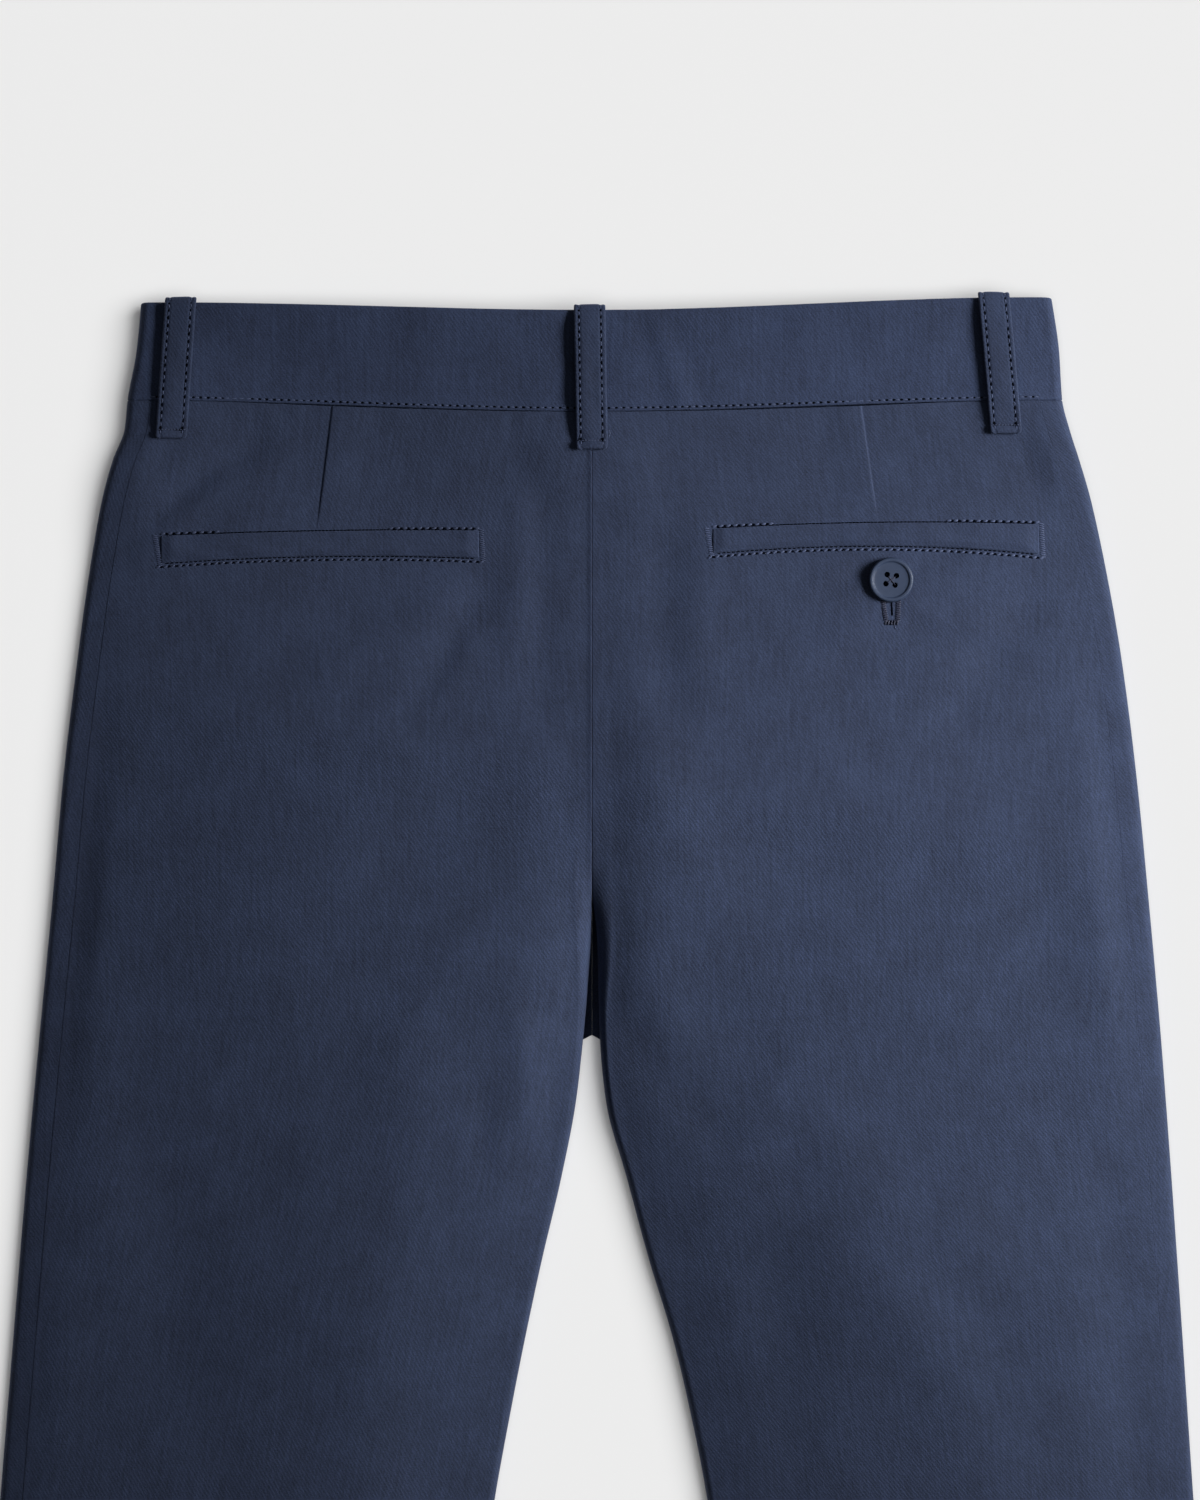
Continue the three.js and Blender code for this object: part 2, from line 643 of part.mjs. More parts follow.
// The button of the waistband, face down under the front of the band
function waistButton() {
  const mesh = namedMesh("waist_button", buttonGeometry(), NAVY_BUTTON);
  mesh.position.set(WAIST_BUTTON.x, WAIST_Y - WAIST_BUTTON.down, BUTTON_HEIGHT);
  mesh.rotation.set(Math.PI, 0, WAIST_BUTTON.turn);
  return mesh;
}

const trousers = new THREE.Group();
for (const side of ["left", "right"]) {
  trousers.add(namedMesh(`back_${side}`, backPanel(side), NAVY_TWILL));
  trousers.add(namedMesh(`front_${side}`, frontPanel(side), NAVY_TWILL));
  trousers.add(namedMesh(`waistband_${side}`, waistbandHalf(side), NAVY_BAND));
  trousers.add(namedMesh(`pocket_welt_${side}`, pocketWelt(side), NAVY_BAND));
}
trousers.add(...BACK_LOOPS.map(backLoop), ...FRONT_LOOPS.map(frontLoop));
trousers.add(pocketButton(), waistButton());

export default trousers;
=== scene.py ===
"""Boys' chino trousers in navy cotton twill, laid flat on a table back side up.

Every cloth piece is a shell over the solid's own surface, worked out again from the same tables and
formulas on a fine grid, with its creases, seams and sewing added. Lengths are millimetres until a mesh
is put into Blender, which is in metres. "down" is the distance below the waist line, "inset" the
distance in from the outer edge of one half, and left and right are the wearer's.
"""

import logging
import math
from dataclasses import dataclass
from enum import Enum
from typing import Any

import bpy
import numpy as np
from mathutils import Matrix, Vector


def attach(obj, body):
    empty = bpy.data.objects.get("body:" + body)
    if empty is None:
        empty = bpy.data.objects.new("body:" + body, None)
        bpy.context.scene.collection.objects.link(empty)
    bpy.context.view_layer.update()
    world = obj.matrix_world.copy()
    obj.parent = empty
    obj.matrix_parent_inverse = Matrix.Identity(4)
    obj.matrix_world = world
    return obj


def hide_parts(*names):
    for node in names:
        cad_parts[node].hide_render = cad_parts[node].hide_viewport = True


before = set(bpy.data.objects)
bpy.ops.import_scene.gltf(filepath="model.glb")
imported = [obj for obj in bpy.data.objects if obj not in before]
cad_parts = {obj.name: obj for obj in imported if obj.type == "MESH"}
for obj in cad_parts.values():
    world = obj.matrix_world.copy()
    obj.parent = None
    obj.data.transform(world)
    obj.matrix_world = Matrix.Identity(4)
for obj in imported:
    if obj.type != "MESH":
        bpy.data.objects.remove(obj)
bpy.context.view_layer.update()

Array = np.ndarray
LOG = logging.getLogger("chino_trousers")

MM = 0.001
WAIST_Y = 448.0
HEM = 902.0
CROTCH = 251.0
SIDE_SEAM_INSET = 8.0
SEAM_GAP = 0.08
SOLID_WALL = 1.2
SOLID_GAP = 0.3
WAIST_SEAM = 34.0
HEM_DEPTH = 28.0
UNDER = (0.0, 0.0, -1.0)
GRAIN_UV = "cloth"


class Side(Enum):
    """The wearer's left or right half."""

    LEFT = "left"
    RIGHT = "right"

    @property
    def sign(self) -> int:
        """-1 on the left and 1 on the right."""
        return -1 if self is Side.LEFT else 1


class Face(Enum):
    """The upper side of the garment as it lies, or the lower side."""

    BACK = "back"
    FRONT = "front"


def cubic(value: Array, slope: Array, row: Array, span: Array, t: Array) -> Array:
    """A cubic from each knot to the next, with the slopes given at both: the Hermite form.

    Args:
        value: Values at the knots.
        slope: Slopes at the knots.
        row: Number of the knot before each asked place.
        span: Distance from that knot to the next.
        t: Share of the span that is passed.

    Returns:
        The values at the asked places.
    """
    rise = slope[row] * span * t * (1 - t) ** 2 - slope[row + 1] * span * t * t * (1 - t)
    return value[row] * (1 + 2 * t) * (1 - t) ** 2 + value[row + 1] * t * t * (3 - 2 * t) + rise


@dataclass(frozen=True)
class Table:
    """Rows of named columns by level, read along a smooth curve that never overshoots a row."""

    columns: tuple[str, ...]
    rows: tuple[tuple[float, ...], ...]

    def at(self, column: str, down: Array) -> Array:
        """A cubic through each pair of rows, whose slope at a row is the harmonic mean of the slopes
        on both sides of it, or 0 where they differ in sign.

        Args:
            column: Name of the column.
            down: Levels, in an array of any shape.

        Returns:
            The column's values at those levels.
        """
        data = np.array(self.rows)
        level, value = data[:, 0], data[:, 1 + self.columns.index(column)]
        slope = np.diff(value) / np.diff(level)
        before, after = slope[:-1], slope[1:]
        total = np.where(before + after == 0, 1, before + after)
        inside = np.where(before * after <= 0, 0, 2 * before * after / total)
        tangent = np.concatenate([slope[:1], inside, slope[-1:]])
        asked = np.clip(down, level[0], level[-1])
        row = np.clip(np.searchsorted(level, asked) - 1, 0, len(level) - 2)
        span = level[row + 1] - level[row]
        return cubic(value, tangent, row, span, (asked - level[row]) / span)


OUTLINE = Table(("left", "right"), (
    (-6, -155.4, 158.4), (14, -157.3, 161.3), (31, -160.4, 162.4), (41, -161.4, 164.9),
    (52, -165.6, 168.4), (66, -169.4, 172.5), (93, -174.2, 178.4), (121, -178.0, 183.2),
    (162, -182.9, 188.4), (204, -186.6, 192.5), (251, -191.1, 196.7), (300, -195.6, 200.4),
    (355, -200.1, 204.2), (410, -204.6, 207.9), (600, -220.5, 221.5), (902, -244.0, 244.0),
))
FORK = Table(("left", "right"), (
    (-10, -0.04, 0.04), (197, -0.04, 0.04), (217, -0.3, 1.7), (235, -1.5, 2.2), (251, -3.0, 2.7),
    (273, -5.5, 4.8), (300, -10.7, 12.1), (328, -17.3, 19.7), (355, -23.1, 27.9),
    (383, -28.6, 34.5), (410, -33.5, 39.7), (600, -62.0, 66.0), (902, -101.5, 101.5),
))
FORM = Table(("radius", "rise", "floor", "split", "roll"), (
    (-10, 3.3, 4.6, 2.7, 0, 0), (34, 3.2, 5.0, 2.7, 0, 0), (52, 3.1, 6.0, 2.7, 0, 0),
    (92, 3.0, 8.4, 0, 0, 0), (140, 3.0, 9.0, 0, 0.05, 0), (190, 3.0, 9.0, 0, 0.3, 0),
    (225, 3.0, 8.8, 0, 0.7, 0.55), (250, 3.0, 8.5, 0, 1, 1), (400, 3.0, 7.8, 0, 1, 1),
    (600, 3.0, 6.8, 0, 1, 1), (902, 2.8, 5.2, 0, 1, 1),
))


def smoothstep(start: float, end: float, value: Array) -> Array:
    """0 before start, 1 after end, and 3t^2 - 2t^3 between them."""
    t = np.clip((value - start) / (end - start), 0, 1)
    return t * t * (3 - 2 * t)


def rounding(distance: Array, reach: float) -> Array:
    """A quarter circle: 0 at an edge, 1 from reach inwards."""
    return np.sqrt(1 - (1 - np.clip(distance / reach, 0, 1)) ** 2)


@dataclass(frozen=True)
class Rim:
    """The edge of a sheet: how far it is rounded, and the share of the wall's half that the rounding
    takes. A share under 1 leaves a straight side below it, as where two pieces meet in a seam."""

    reach: float
    share: float = 1.0

    def fullness(self, distance: Array) -> Array:
        """0 at the very edge, then a quarter circle from 1 - share up to 1."""
        inside = 1 - self.share * (1 - rounding(distance, self.reach))
        return np.where(distance < 1e-6, 0.0, inside)


@dataclass(frozen=True)
class Rims:
    """The edges of a sheet, at its first and last row and its first and last column."""

    head: Rim
    foot: Rim
    start: Rim
    end: Rim

    @classmethod
    def alike(cls, reach: float) -> "Rims":
        """Four half-round edges."""
        return cls(*(Rim(reach) for _ in range(4)))

    def fullness(self, grid: Array) -> Array:
        """Product of the four edges' fullness over a grid of points."""
        along, across = walked(grid, 0), walked(grid, 1)
        return (self.head.fullness(along) * self.foot.fullness(along[-1:] - along)
                * self.start.fullness(across) * self.end.fullness(across[:, -1:] - across))[..., None]


SEAM_RIM = Rim(0.35, 0.55)
FLAT_SEAM_RIM = Rim(0.25, 0.25)
SIDE_SEAM_RIM = Rim(0.12, 0.04)


def graded(length: float, step: float, rim: tuple[float, ...] = (0.02, 0.12, 0.35, 0.75, 1.4)) -> Array:
    """Stations from 0 to length, a step apart, closer together at both ends.

    Args:
        length: Distance that they cover.
        step: Distance between the stations in the middle.
        rim: Distances of the first stations from each end.

    Returns:
        The stations in order.
    """
    edge = np.array((0.0,) + rim)
    count = max(2, round((length - 2 * edge[-1]) / step) + 1)
    middle = np.linspace(edge[-1], length - edge[-1], count)
    return np.concatenate([edge[:-1], middle, (length - edge[:-1])[::-1]])


@dataclass(frozen=True)
class Section:
    """One half of the garment cut across at some levels. Each field is an array of their shape."""

    outer: Array
    inner: Array
    radius: Array
    rise: Array
    floor: Array
    split: Array
    width: Array
    outer_slope: Array
    inner_slope: Array
    start: Array
    end: Array
    fold_height: Array
    strip: Array
    bend: Array

    @classmethod
    def at(cls, side: Side, down: Array) -> "Section":
        """A round fold at the outer edge, a crown that leaves it on its own slope, and at the inner
        edge a strip that turns down as far as the roll says.

        Args:
            side: The half.
            down: Levels, in an array of any shape.

        Returns:
            The section at those levels.
        """
        outer, inner = OUTLINE.at(side.value, down), FORK.at(side.value, down)
        radius, rise, floor, split, roll = (FORM.at(column, down) for column in FORM.columns)
        width = np.abs(outer - inner)
        slope_width = width - 2 * radius
        outer_slope = np.arctan((1 + split) * 2 * rise / slope_width)
        inner_slope = np.arctan(4 * split * rise / slope_width)
        strip = radius * (np.arccos((SOLID_WALL + SOLID_GAP) / radius - 1) - inner_slope)
        bend = roll / radius
        tip = np.minimum(inner_slope + bend * strip, math.pi / 2)
        turned = (np.sin(tip) - np.sin(inner_slope)) / np.maximum(bend, 1e-4)
        reach = np.where(bend < 1e-4, strip * np.cos(inner_slope), turned)
        return cls(
            outer, inner, radius, rise, floor, split, width, outer_slope, inner_slope,
            start=radius * (1 - np.sin(outer_slope)),
            end=width - reach,
            fold_height=floor + radius * (1 + np.cos(outer_slope)),
            strip=strip,
            bend=bend,
        )

    def round_fold(self, side: Side, angle: Array, down: Array) -> Array:
        """Points of the arc at the outer edge, from -90 degrees at its lowest."""
        out = self.outer - side.sign * self.radius * (1 - np.cos(angle))
        return place(out, down, self.floor + self.radius * (1 + np.sin(angle)))

    def under(self, side: Side, share: Array, down: Array, inner: Array, lift: float = 0.0) -> Array:
        """Points of the flat underside, at a share of the way from the fold to the inner edge."""
        edge = self.outer - side.sign * self.radius
        return place(edge + (inner - edge) * share, down, self.floor + lift)

    def column(self, where: int) -> "Section":
        """The section of one column of a grid, as a column of its own."""
        return Section(*(getattr(self, name)[:, where, None] for name in self.__dataclass_fields__))

    def crown(self, inset: Array) -> Array:
        """Height of the upper side: a parabola that is level at the centre back over the seat, and one
        for each leg below the fork, mixed by split."""
        share = (inset - self.start) / (self.end - self.start)
        seat = 1 - (1 - share) ** 2
        leg = 1 - (2 * share - 1) ** 2
        return self.fold_height + self.rise * ((1 - self.split) * seat + self.split * leg)


@dataclass(frozen=True)
class Fold:
    """A ridge of the cloth, or a trough where height is below zero. bow moves its middle sideways, and
    crisp under 2 makes its top sharper."""

    x: float
    down: float
    to_x: float
    to_down: float
    width: float
    height: float
    bow: float = 0.0
    crisp: float = 2.0

    def lift(self, x: Array, down: Array) -> Array:
        """Height times exp(-(d / width)^crisp), where d is the distance from the fold's bowed line."""
        run_x, run_down = self.to_x - self.x, self.to_down - self.down
        length = math.hypot(run_x, run_down)
        forward = ((x - self.x) * run_x + (down - self.down) * run_down) / length
        sideways = ((x - self.x) * run_down - (down - self.down) * run_x) / length
        share = np.clip(forward / length, 0, 1)
        beyond = np.maximum(0, np.maximum(-forward, forward - length))
        away = np.hypot(sideways - 4 * self.bow * share * (1 - share), beyond) / self.width
        return self.height * np.exp(-(away ** self.crisp))


FOLDS = {
    Side.LEFT: (
        Fold(-150, 52, -30, 53, 15, -1.5), Fold(-150, 205, -30, 195, 62, 1.6),
        Fold(-38, 96, -60, 142, 8, -1.0), Fold(-54, 104, -90, 124, 9, 0.7),
        Fold(-16, 66, -16, 135, 8, -0.7), Fold(-116, 46, -142, 62, 7, -0.9),
        Fold(-60, 262, -92, 520, 17, 1.3), Fold(-112, 265, -150, 560, 24, -1.4),
        Fold(-168, 540, -196, 640, 16, -1.0), Fold(-120, 640, -170, 820, 20, 0.8),
        Fold(-42, 114, -59, 141, 5, 0.7, 2, 1.6), Fold(-25, 66, -26, 114, 6, 0.55, 1.5),
        Fold(-118, 50, -150, 72, 4, -0.55, -2, 1.5), Fold(-128, 58, -156, 84, 5, 0.5, 2),
        Fold(-24, 243, -6, 246, 4, -0.55, 1, 1.4), Fold(-11, 262, -12, 281, 4, -0.65, 0.6),
        Fold(-37.5, 270, -36, 296, 4.5, -0.55, -1), Fold(-25, 244, -24, 277, 5, 0.7, 1.5),
        Fold(-45, 225, -70, 262, 11, 0.55, -3), Fold(-70, 160, -150, 205, 18, 0.55, 6),
        Fold(-60, 190, -140, 240, 16, -0.5, 5), Fold(-172, 330, -182, 420, 8, -0.55, 3),
        Fold(-70, 700, -104, 780, 13, -0.5, 4), Fold(-186, 720, -206, 840, 12, 0.5, -4),
    ),
    Side.RIGHT: (
        Fold(30, 53, 155, 51, 15, -1.6), Fold(30, 190, 155, 200, 62, 1.8),
        Fold(24, 88, 26, 132, 9, -0.9), Fold(38, 78, 36, 118, 8, 0.6),
        Fold(150, 102, 128, 136, 9, -0.8), Fold(72, 298, 140, 354, 15, -1.2),
        Fold(84, 318, 126, 312, 12, 0.7), Fold(60, 330, 92, 560, 14, -0.9),
        Fold(168, 520, 130, 620, 18, -1.0), Fold(150, 660, 178, 840, 20, 0.8),
        Fold(85, 113, 141, 111, 5, 0.5, 5, 1.7), Fold(88, 121, 138, 120, 6, -0.35, 6),
        Fold(92, 90, 80, 98, 2.6, -0.5, 1, 1.6), Fold(111, 90, 124, 84, 3, -0.55, 1, 1.6),
        Fold(110, 102, 119, 107, 2.4, 0.4), Fold(98, 102, 91, 105, 2.2, 0.4),
        Fold(112, 96, 126, 97, 2.6, 0.35, 1), Fold(91, 95, 78, 93, 2.6, 0.3, -1),
        Fold(12, 150, 40, 205, 13, 0.55, 4), Fold(60, 150, 160, 190, 18, 0.5, -6),
        Fold(20, 236, 60, 268, 9, 0.55, -4), Fold(14, 250, 44, 284, 7, -0.5, -3),
        Fold(178, 300, 190, 400, 9, -0.55, -3), Fold(60, 690, 100, 800, 13, 0.7, -5),
        Fold(190, 700, 204, 830, 12, -0.5, 4),
        Fold(15, 3, 23, 30, 4, -0.25, 1), Fold(22, 5, 31, 31, 3.6, 0.3, -1),
        Fold(29, 8, 38, 32, 3.4, -0.25, 1), Fold(149, 8, 156, 24, 3, -0.5, 0.6, 1.6),
        Fold(145, 6, 152, 28, 3, 0.4), Fold(5.5, 1, 9.5, 3.5, 1.8, -0.9, 0, 1.6),
    ),
}
FOLD_CLEAR_OF_SEAM = 12.0


@dataclass(frozen=True)
class Swell:
    """A broad rise of the cloth, or a hollow where height is below zero: an ellipse on the garment,
    turned by an angle in radians."""

    x: float
    down: float
    wide: float
    long: float
    turn: float
    height: float

    def lift(self, x: Array, down: Array) -> Array:
        """Height times exp(-(a^2 + b^2)), where a and b are the distances along the ellipse's two axes
        over its half sizes."""
        cos, sin = math.cos(self.turn), math.sin(self.turn)
        across = ((x - self.x) * cos + (down - self.down) * sin) / self.wide
        along = ((down - self.down) * cos - (x - self.x) * sin) / self.long
        return self.height * np.exp(-(across ** 2 + along ** 2))


SWELLS = (
    Swell(-22, 239, 45, 109, 0.48, 1.8), Swell(54, 293, 127, 26, 0.59, 1.8),
    Swell(-153, 314, 33, 130, -0.10, -1.8), Swell(119, 221, 96, 64, 0.54, -1.8),
    Swell(-84, 55, 70, 54, 1.03, -1.8), Swell(90, 370, 113, 57, -0.22, 1.8),
    Swell(-1, 221, 35, 86, 0.26, 1.8), Swell(46, 75, 110, 40, -0.65, -1.8),
    Swell(-40, 70, 128, 54, 0.12, -1.8), Swell(2, 225, 28, 120, 0.17, 1.5),
    Swell(-150, 346, 19, 94, 0.17, -1.4), Swell(-4, 234, 34, 86, 0.29, 0.8),
    Swell(102, 332, 18, 93, -0.44, 1.6), Swell(-71, 68, 48, 113, -0.73, -1.4),
    Swell(120, 231, 87, 59, -0.23, -1.5),
)


def swells(x: Array, down: Array) -> Array:
    """Height of all the broad swells, which fade out towards the waist."""
    return smoothstep(-4, 20, down) * sum(swell.lift(x, down) for swell in SWELLS)


def unevenness(x: Array, down: Array, amount: float, span: float, seed: int) -> Array:
    """A sum of seven sine waves of random direction, length (0.6 to 1.7 spans) and phase.

    Args:
        x: Places across.
        down: Levels.
        amount: Height of the waves together.
        span: Their middle length.
        seed: Seed of the draw.

    Returns:
        Heights.
    """
    draw = np.random.default_rng(seed)
    total = np.zeros(np.broadcast(x, down).shape)
    for _ in range(7):
        turn, stretch, phase = draw.uniform(0, math.pi), draw.uniform(0.6, 1.7), draw.uniform(0, 6.3)
        wave = 2 * math.pi / (span * stretch)
        total += np.sin((x * math.cos(turn) + down * math.sin(turn)) * wave + phase)
    return amount * total / 2.6


@dataclass(frozen=True)
class BandLevels:
    """Levels of the waistband's edges at the side fold, the centre back and the centre front."""

    top_side: float
    seam_side: float = 31.2
    top_back: float = 0.3
    seam_back: float = 35.2
    top_front: float = 7.0
    seam_front: float = 41.5

    def edge(self, name: str, face: Face, share: Array) -> Array:
        """Level of the edge "top" or "seam" at a share of the way from the side to the centre."""
        at_side = getattr(self, f"{name}_side")
        at_centre = getattr(self, f"{name}_{face.value}")
        return at_side + (at_centre - at_side) * smoothstep(0, 1, share)


BAND = {Side.LEFT: BandLevels(top_side=-2.6), Side.RIGHT: BandLevels(top_side=-4.4)}


@dataclass(frozen=True)
class Dart:
    """The dart of one back panel: ends of its line, and the depth of its crease."""

    x: float
    down: float
    to_x: float
    to_down: float
    depth: float = 0.42

    def inset(self, section: Section, down: Array) -> Array:
        """Inset of the dart's line, which below the dart drifts to the middle of the panel."""
        share = np.clip((down - self.down) / (self.to_down - self.down), 0, 1)
        on_dart = np.abs(section.outer - (self.x + (self.to_x - self.x) * share))
        middle = (SIDE_SEAM_INSET + section.end) / 2
        return on_dart + (middle - on_dart) * smoothstep(self.to_down, self.to_down + 220, down)

    def crease(self, away: Array, down: Array) -> Array:
        """A step up at the line to the pressed allowance on its centre side, with a fine groove."""
        fade = 1 - smoothstep(self.to_down - 12, self.to_down + 3, down)
        groove = -0.12 * np.clip(1 - np.abs(away) / 0.5, 0, 1)
        allowance = self.depth * smoothstep(-0.35, 0.35, away) * (1 - smoothstep(4, 16, away))
        return fade * (groove + allowance)


@dataclass(frozen=True)
class Half:
    """The upper side of one half of the garment, which panels, welts and sewing all lie on."""

    side: Side
    dart: Dart

    def height(self, section: Section, inset: Array, down: Array) -> Array:
        """The crown, the folds faded out beside the seams, the slow unevenness of washed cloth, and
        the tight short waves of the cloth along the waist seam and the centre back seam.

        Args:
            section: The section at each point's level.
            inset: Distance of each point from the outer edge.
            down: Level of each point.

        Returns:
            Heights above the table.
        """
        x = section.outer - self.side.sign * inset
        clear = smoothstep(SIDE_SEAM_INSET, SIDE_SEAM_INSET + FOLD_CLEAR_OF_SEAM, inset)
        from_centre = section.end - inset
        clear = clear * ((1 - section.split) * smoothstep(-5, 18, from_centre)
                         + section.split * smoothstep(0, 9, from_centre))
        folds = sum(fold.lift(x, down) for fold in FOLDS[self.side])
        slow = unevenness(x, down, 0.10, 46, 11 + self.side.sign)
        beside_leg = 1 - 0.5 * section.split * (1 - smoothstep(0, 25, from_centre))
        broad = smoothstep(8, 40, inset) * beside_leg * swells(x, down)
        share = 1 - inset / section.width
        seam = BAND[self.side].edge("seam", Face.BACK, 1 - share)
        beside_waist = np.exp(-((np.maximum(down - seam, 0) / 5) ** 2)) * smoothstep(0, 2, down - seam)
        short = unevenness(x, down * 0.25, 0.13, 8.5, 5) * beside_waist
        centre = unevenness(x * 0.2, down, 0.10, 11, 7) * np.exp(-((from_centre / 7) ** 2))
        return section.crown(inset) + broad + (folds + slow) * clear + short + centre * (1 - section.split)

    def over(self, x: Array, down: Array) -> Array:
        """Height of the upper side at any place."""
        section = Section.at(self.side, down)
        inset = np.minimum(self.side.sign * (section.outer - x), section.width)
        return self.height(section, inset, down)


HALVES = {
    Side.LEFT: Half(Side.LEFT, Dart(-89.7, 33.6, -95.0, 75.8)),
    Side.RIGHT: Half(Side.RIGHT, Dart(93.0, 34.5, 98.5, 72.3)),
}


def over_cloth(x: Array, down: Array) -> Array:
    """Height of the upper side, on whichever half a place is."""
    left, right = (HALVES[side].over(x, down) for side in (Side.LEFT, Side.RIGHT))
    return np.where(x < 0, left, right)


def place(x: Array, down: Array, z: Array) -> Array:
    """Points of the garment's frame, with y up the garment from the middle of its length."""
    x, down, z = np.broadcast_arrays(x, down, z)
    return np.stack([x, WAIST_Y - down, z], axis=-1).astype(float)


def unit(vectors: Array) -> Array:
    """Vectors of length 1."""
    return vectors / np.maximum(np.linalg.norm(vectors, axis=-1, keepdims=True), 1e-9)


def grid_normals(points: Array) -> Array:
    """Cross product of the two directions of a grid of points."""
    return unit(np.cross(np.gradient(points, axis=0), np.gradient(points, axis=1)))


def walked(points: Array, axis: int) -> Array:
    """Distance walked along one axis of a line or grid of points, from 0 at its start."""
    step = np.linalg.norm(np.diff(points, axis=axis), axis=-1)
    start = np.zeros_like(np.take(step, [0], axis=axis))
    return np.cumsum(np.concatenate([start, step], axis=axis), axis=axis)


def put_mesh(name: str, points: Array, faces: list[Array], uv: Array | None = None) -> bpy.types.Mesh:
    """Puts whole arrays into a mesh, turned the right way out by the sign of its volume.

    Args:
        name: The mesh's name.
        points: Vertices in millimetres, (n, 3).
        faces: Arrays of triangles or quads, each (m, 3) or (m, 4).
        uv: Cloth coordinates in metres for each vertex, (n, 2).

    Returns:
        The mesh.
    """
    fan = np.concatenate([f[:, [0, k, k + 1]] for f in faces for k in range(1, f.shape[1] - 1)])
    a, b, c = (points[fan[:, k]] for k in range(3))
    if np.einsum("ij,ij->", a, np.cross(b, c)) < 0:
        faces = [f[:, ::-1] for f in faces]
    corners = np.concatenate([f.ravel() for f in faces])
    sizes = np.concatenate([np.full(len(f), f.shape[1]) for f in faces])
    mesh = bpy.data.meshes.new(name)
    mesh.vertices.add(len(points))
    mesh.vertices.foreach_set("co", (points * MM).ravel())
    mesh.loops.add(len(corners))
    mesh.loops.foreach_set("vertex_index", corners)
    mesh.polygons.add(len(sizes))
    mesh.polygons.foreach_set("loop_start", np.concatenate([[0], np.cumsum(sizes)[:-1]]))
    mesh.polygons.foreach_set("use_smooth", np.ones(len(sizes), dtype=bool))
    if uv is not None:
        layer = mesh.uv_layers.new(name=GRAIN_UV)
        layer.data.foreach_set("uv", uv[corners].ravel())
    mesh.update(calc_edges=True)
    mesh.validate()
    return mesh


def shell(name: str, outer: Array, wall: float, uv: Array, rims: Rims, up: int = 1,
          mark: slice = slice(None)) -> bpy.types.Mesh:
    """A sheet of cloth with a wall: the outer face is the grid, the inner face lies a wall inside it
    along the normals, and at the rims both come together in mid-wall.

    Args:
        name: The mesh's name.
        outer: Grid of points of the outer face, (rows, columns, 3).
        wall: Thickness.
        uv: Cloth coordinates of the grid in metres, (rows, columns, 2).
        rims: Shapes of the four edges.
        up: 1 where the marked columns face up, -1 where they face down.
        mark: The columns that up speaks of.

    Returns:
        The mesh.
    """
    rows, columns = outer.shape[:2]
    normals = grid_normals(outer)
    normals *= np.sign(up * normals[:, mark, 2].mean())
    edge = wall / 2
    full = rims.fullness(outer)
    middle = outer - normals * edge
    points = np.concatenate([(middle + normals * edge * full).reshape(-1, 3),
                             (middle - normals * edge * full).reshape(-1, 3)])
    top = np.arange(rows * columns).reshape(rows, columns)
    below = top + rows * columns
    below[0], below[-1], below[:, 0], below[:, -1] = top[0], top[-1], top[:, 0], top[:, -1]
    quads = [np.stack([g[:-1, :-1], g[:-1, 1:], g[1:, 1:], g[1:, :-1]], axis=-1).reshape(-1, 4)
             for g in (top, below)]
    quads = np.concatenate([quads[0], quads[1][:, ::-1]])
    used, packed = np.unique(quads, return_inverse=True)
    flat = np.concatenate([uv.reshape(-1, 2)] * 2)
    return put_mesh(name, points[used], [packed.reshape(-1, 4)], flat[used])


def spindle_faces(rings: int, sides: int) -> tuple[Array, Array]:
    """Quads between rings of points, and fans that close both ends.

    Args:
        rings: Number of rings.
        sides: Points in each. The two end points come after them all, the first ring's first.

    Returns:
        The quads and the triangles.
    """
    count = rings * sides
    ring = np.arange(count).reshape(rings, sides)
    turned = np.roll(ring, -1, axis=1)
    quads = np.stack([ring[:-1], turned[:-1], turned[1:], ring[1:]], axis=-1).reshape(-1, 4)
    caps = np.concatenate([
        np.stack([np.full(sides, count), turned[0], ring[0]], axis=-1),
        np.stack([np.full(sides, count + 1), ring[-1], turned[-1]], axis=-1)])
    return quads, caps


GARMENT = bpy.data.collections.new("garment")


def make_piece(name: str, mesh: bpy.types.Mesh, finish: bpy.types.Material,
               nodes: tuple[str, ...] = ()) -> bpy.types.Object:
    """Puts a mesh into the scene as a piece of the garment.

    Args:
        name: The piece's name.
        mesh: Its mesh, already in place.
        finish: Its material.
        nodes: Solids that it stands for.

    Returns:
        The piece.
    """
    piece = bpy.data.objects.new(name, mesh)
    bpy.context.scene.collection.objects.link(piece)
    GARMENT.objects.link(piece)
    mesh.materials.append(finish)
    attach(piece, "root")
    if nodes:
        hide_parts(*nodes)
    LOG.info("%s: %d faces", name, len(mesh.polygons))
    return piece


def linear(colour: str) -> tuple[float, float, float, float]:
    """An sRGB hex colour turned linear, with full alpha."""
    parts = [int(colour[k:k + 2], 16) / 255 for k in (1, 3, 5)]
    values = [p / 12.92 if p <= 0.04045 else ((p + 0.055) / 1.055) ** 2.4 for p in parts]
    return (values[0], values[1], values[2], 1.0)


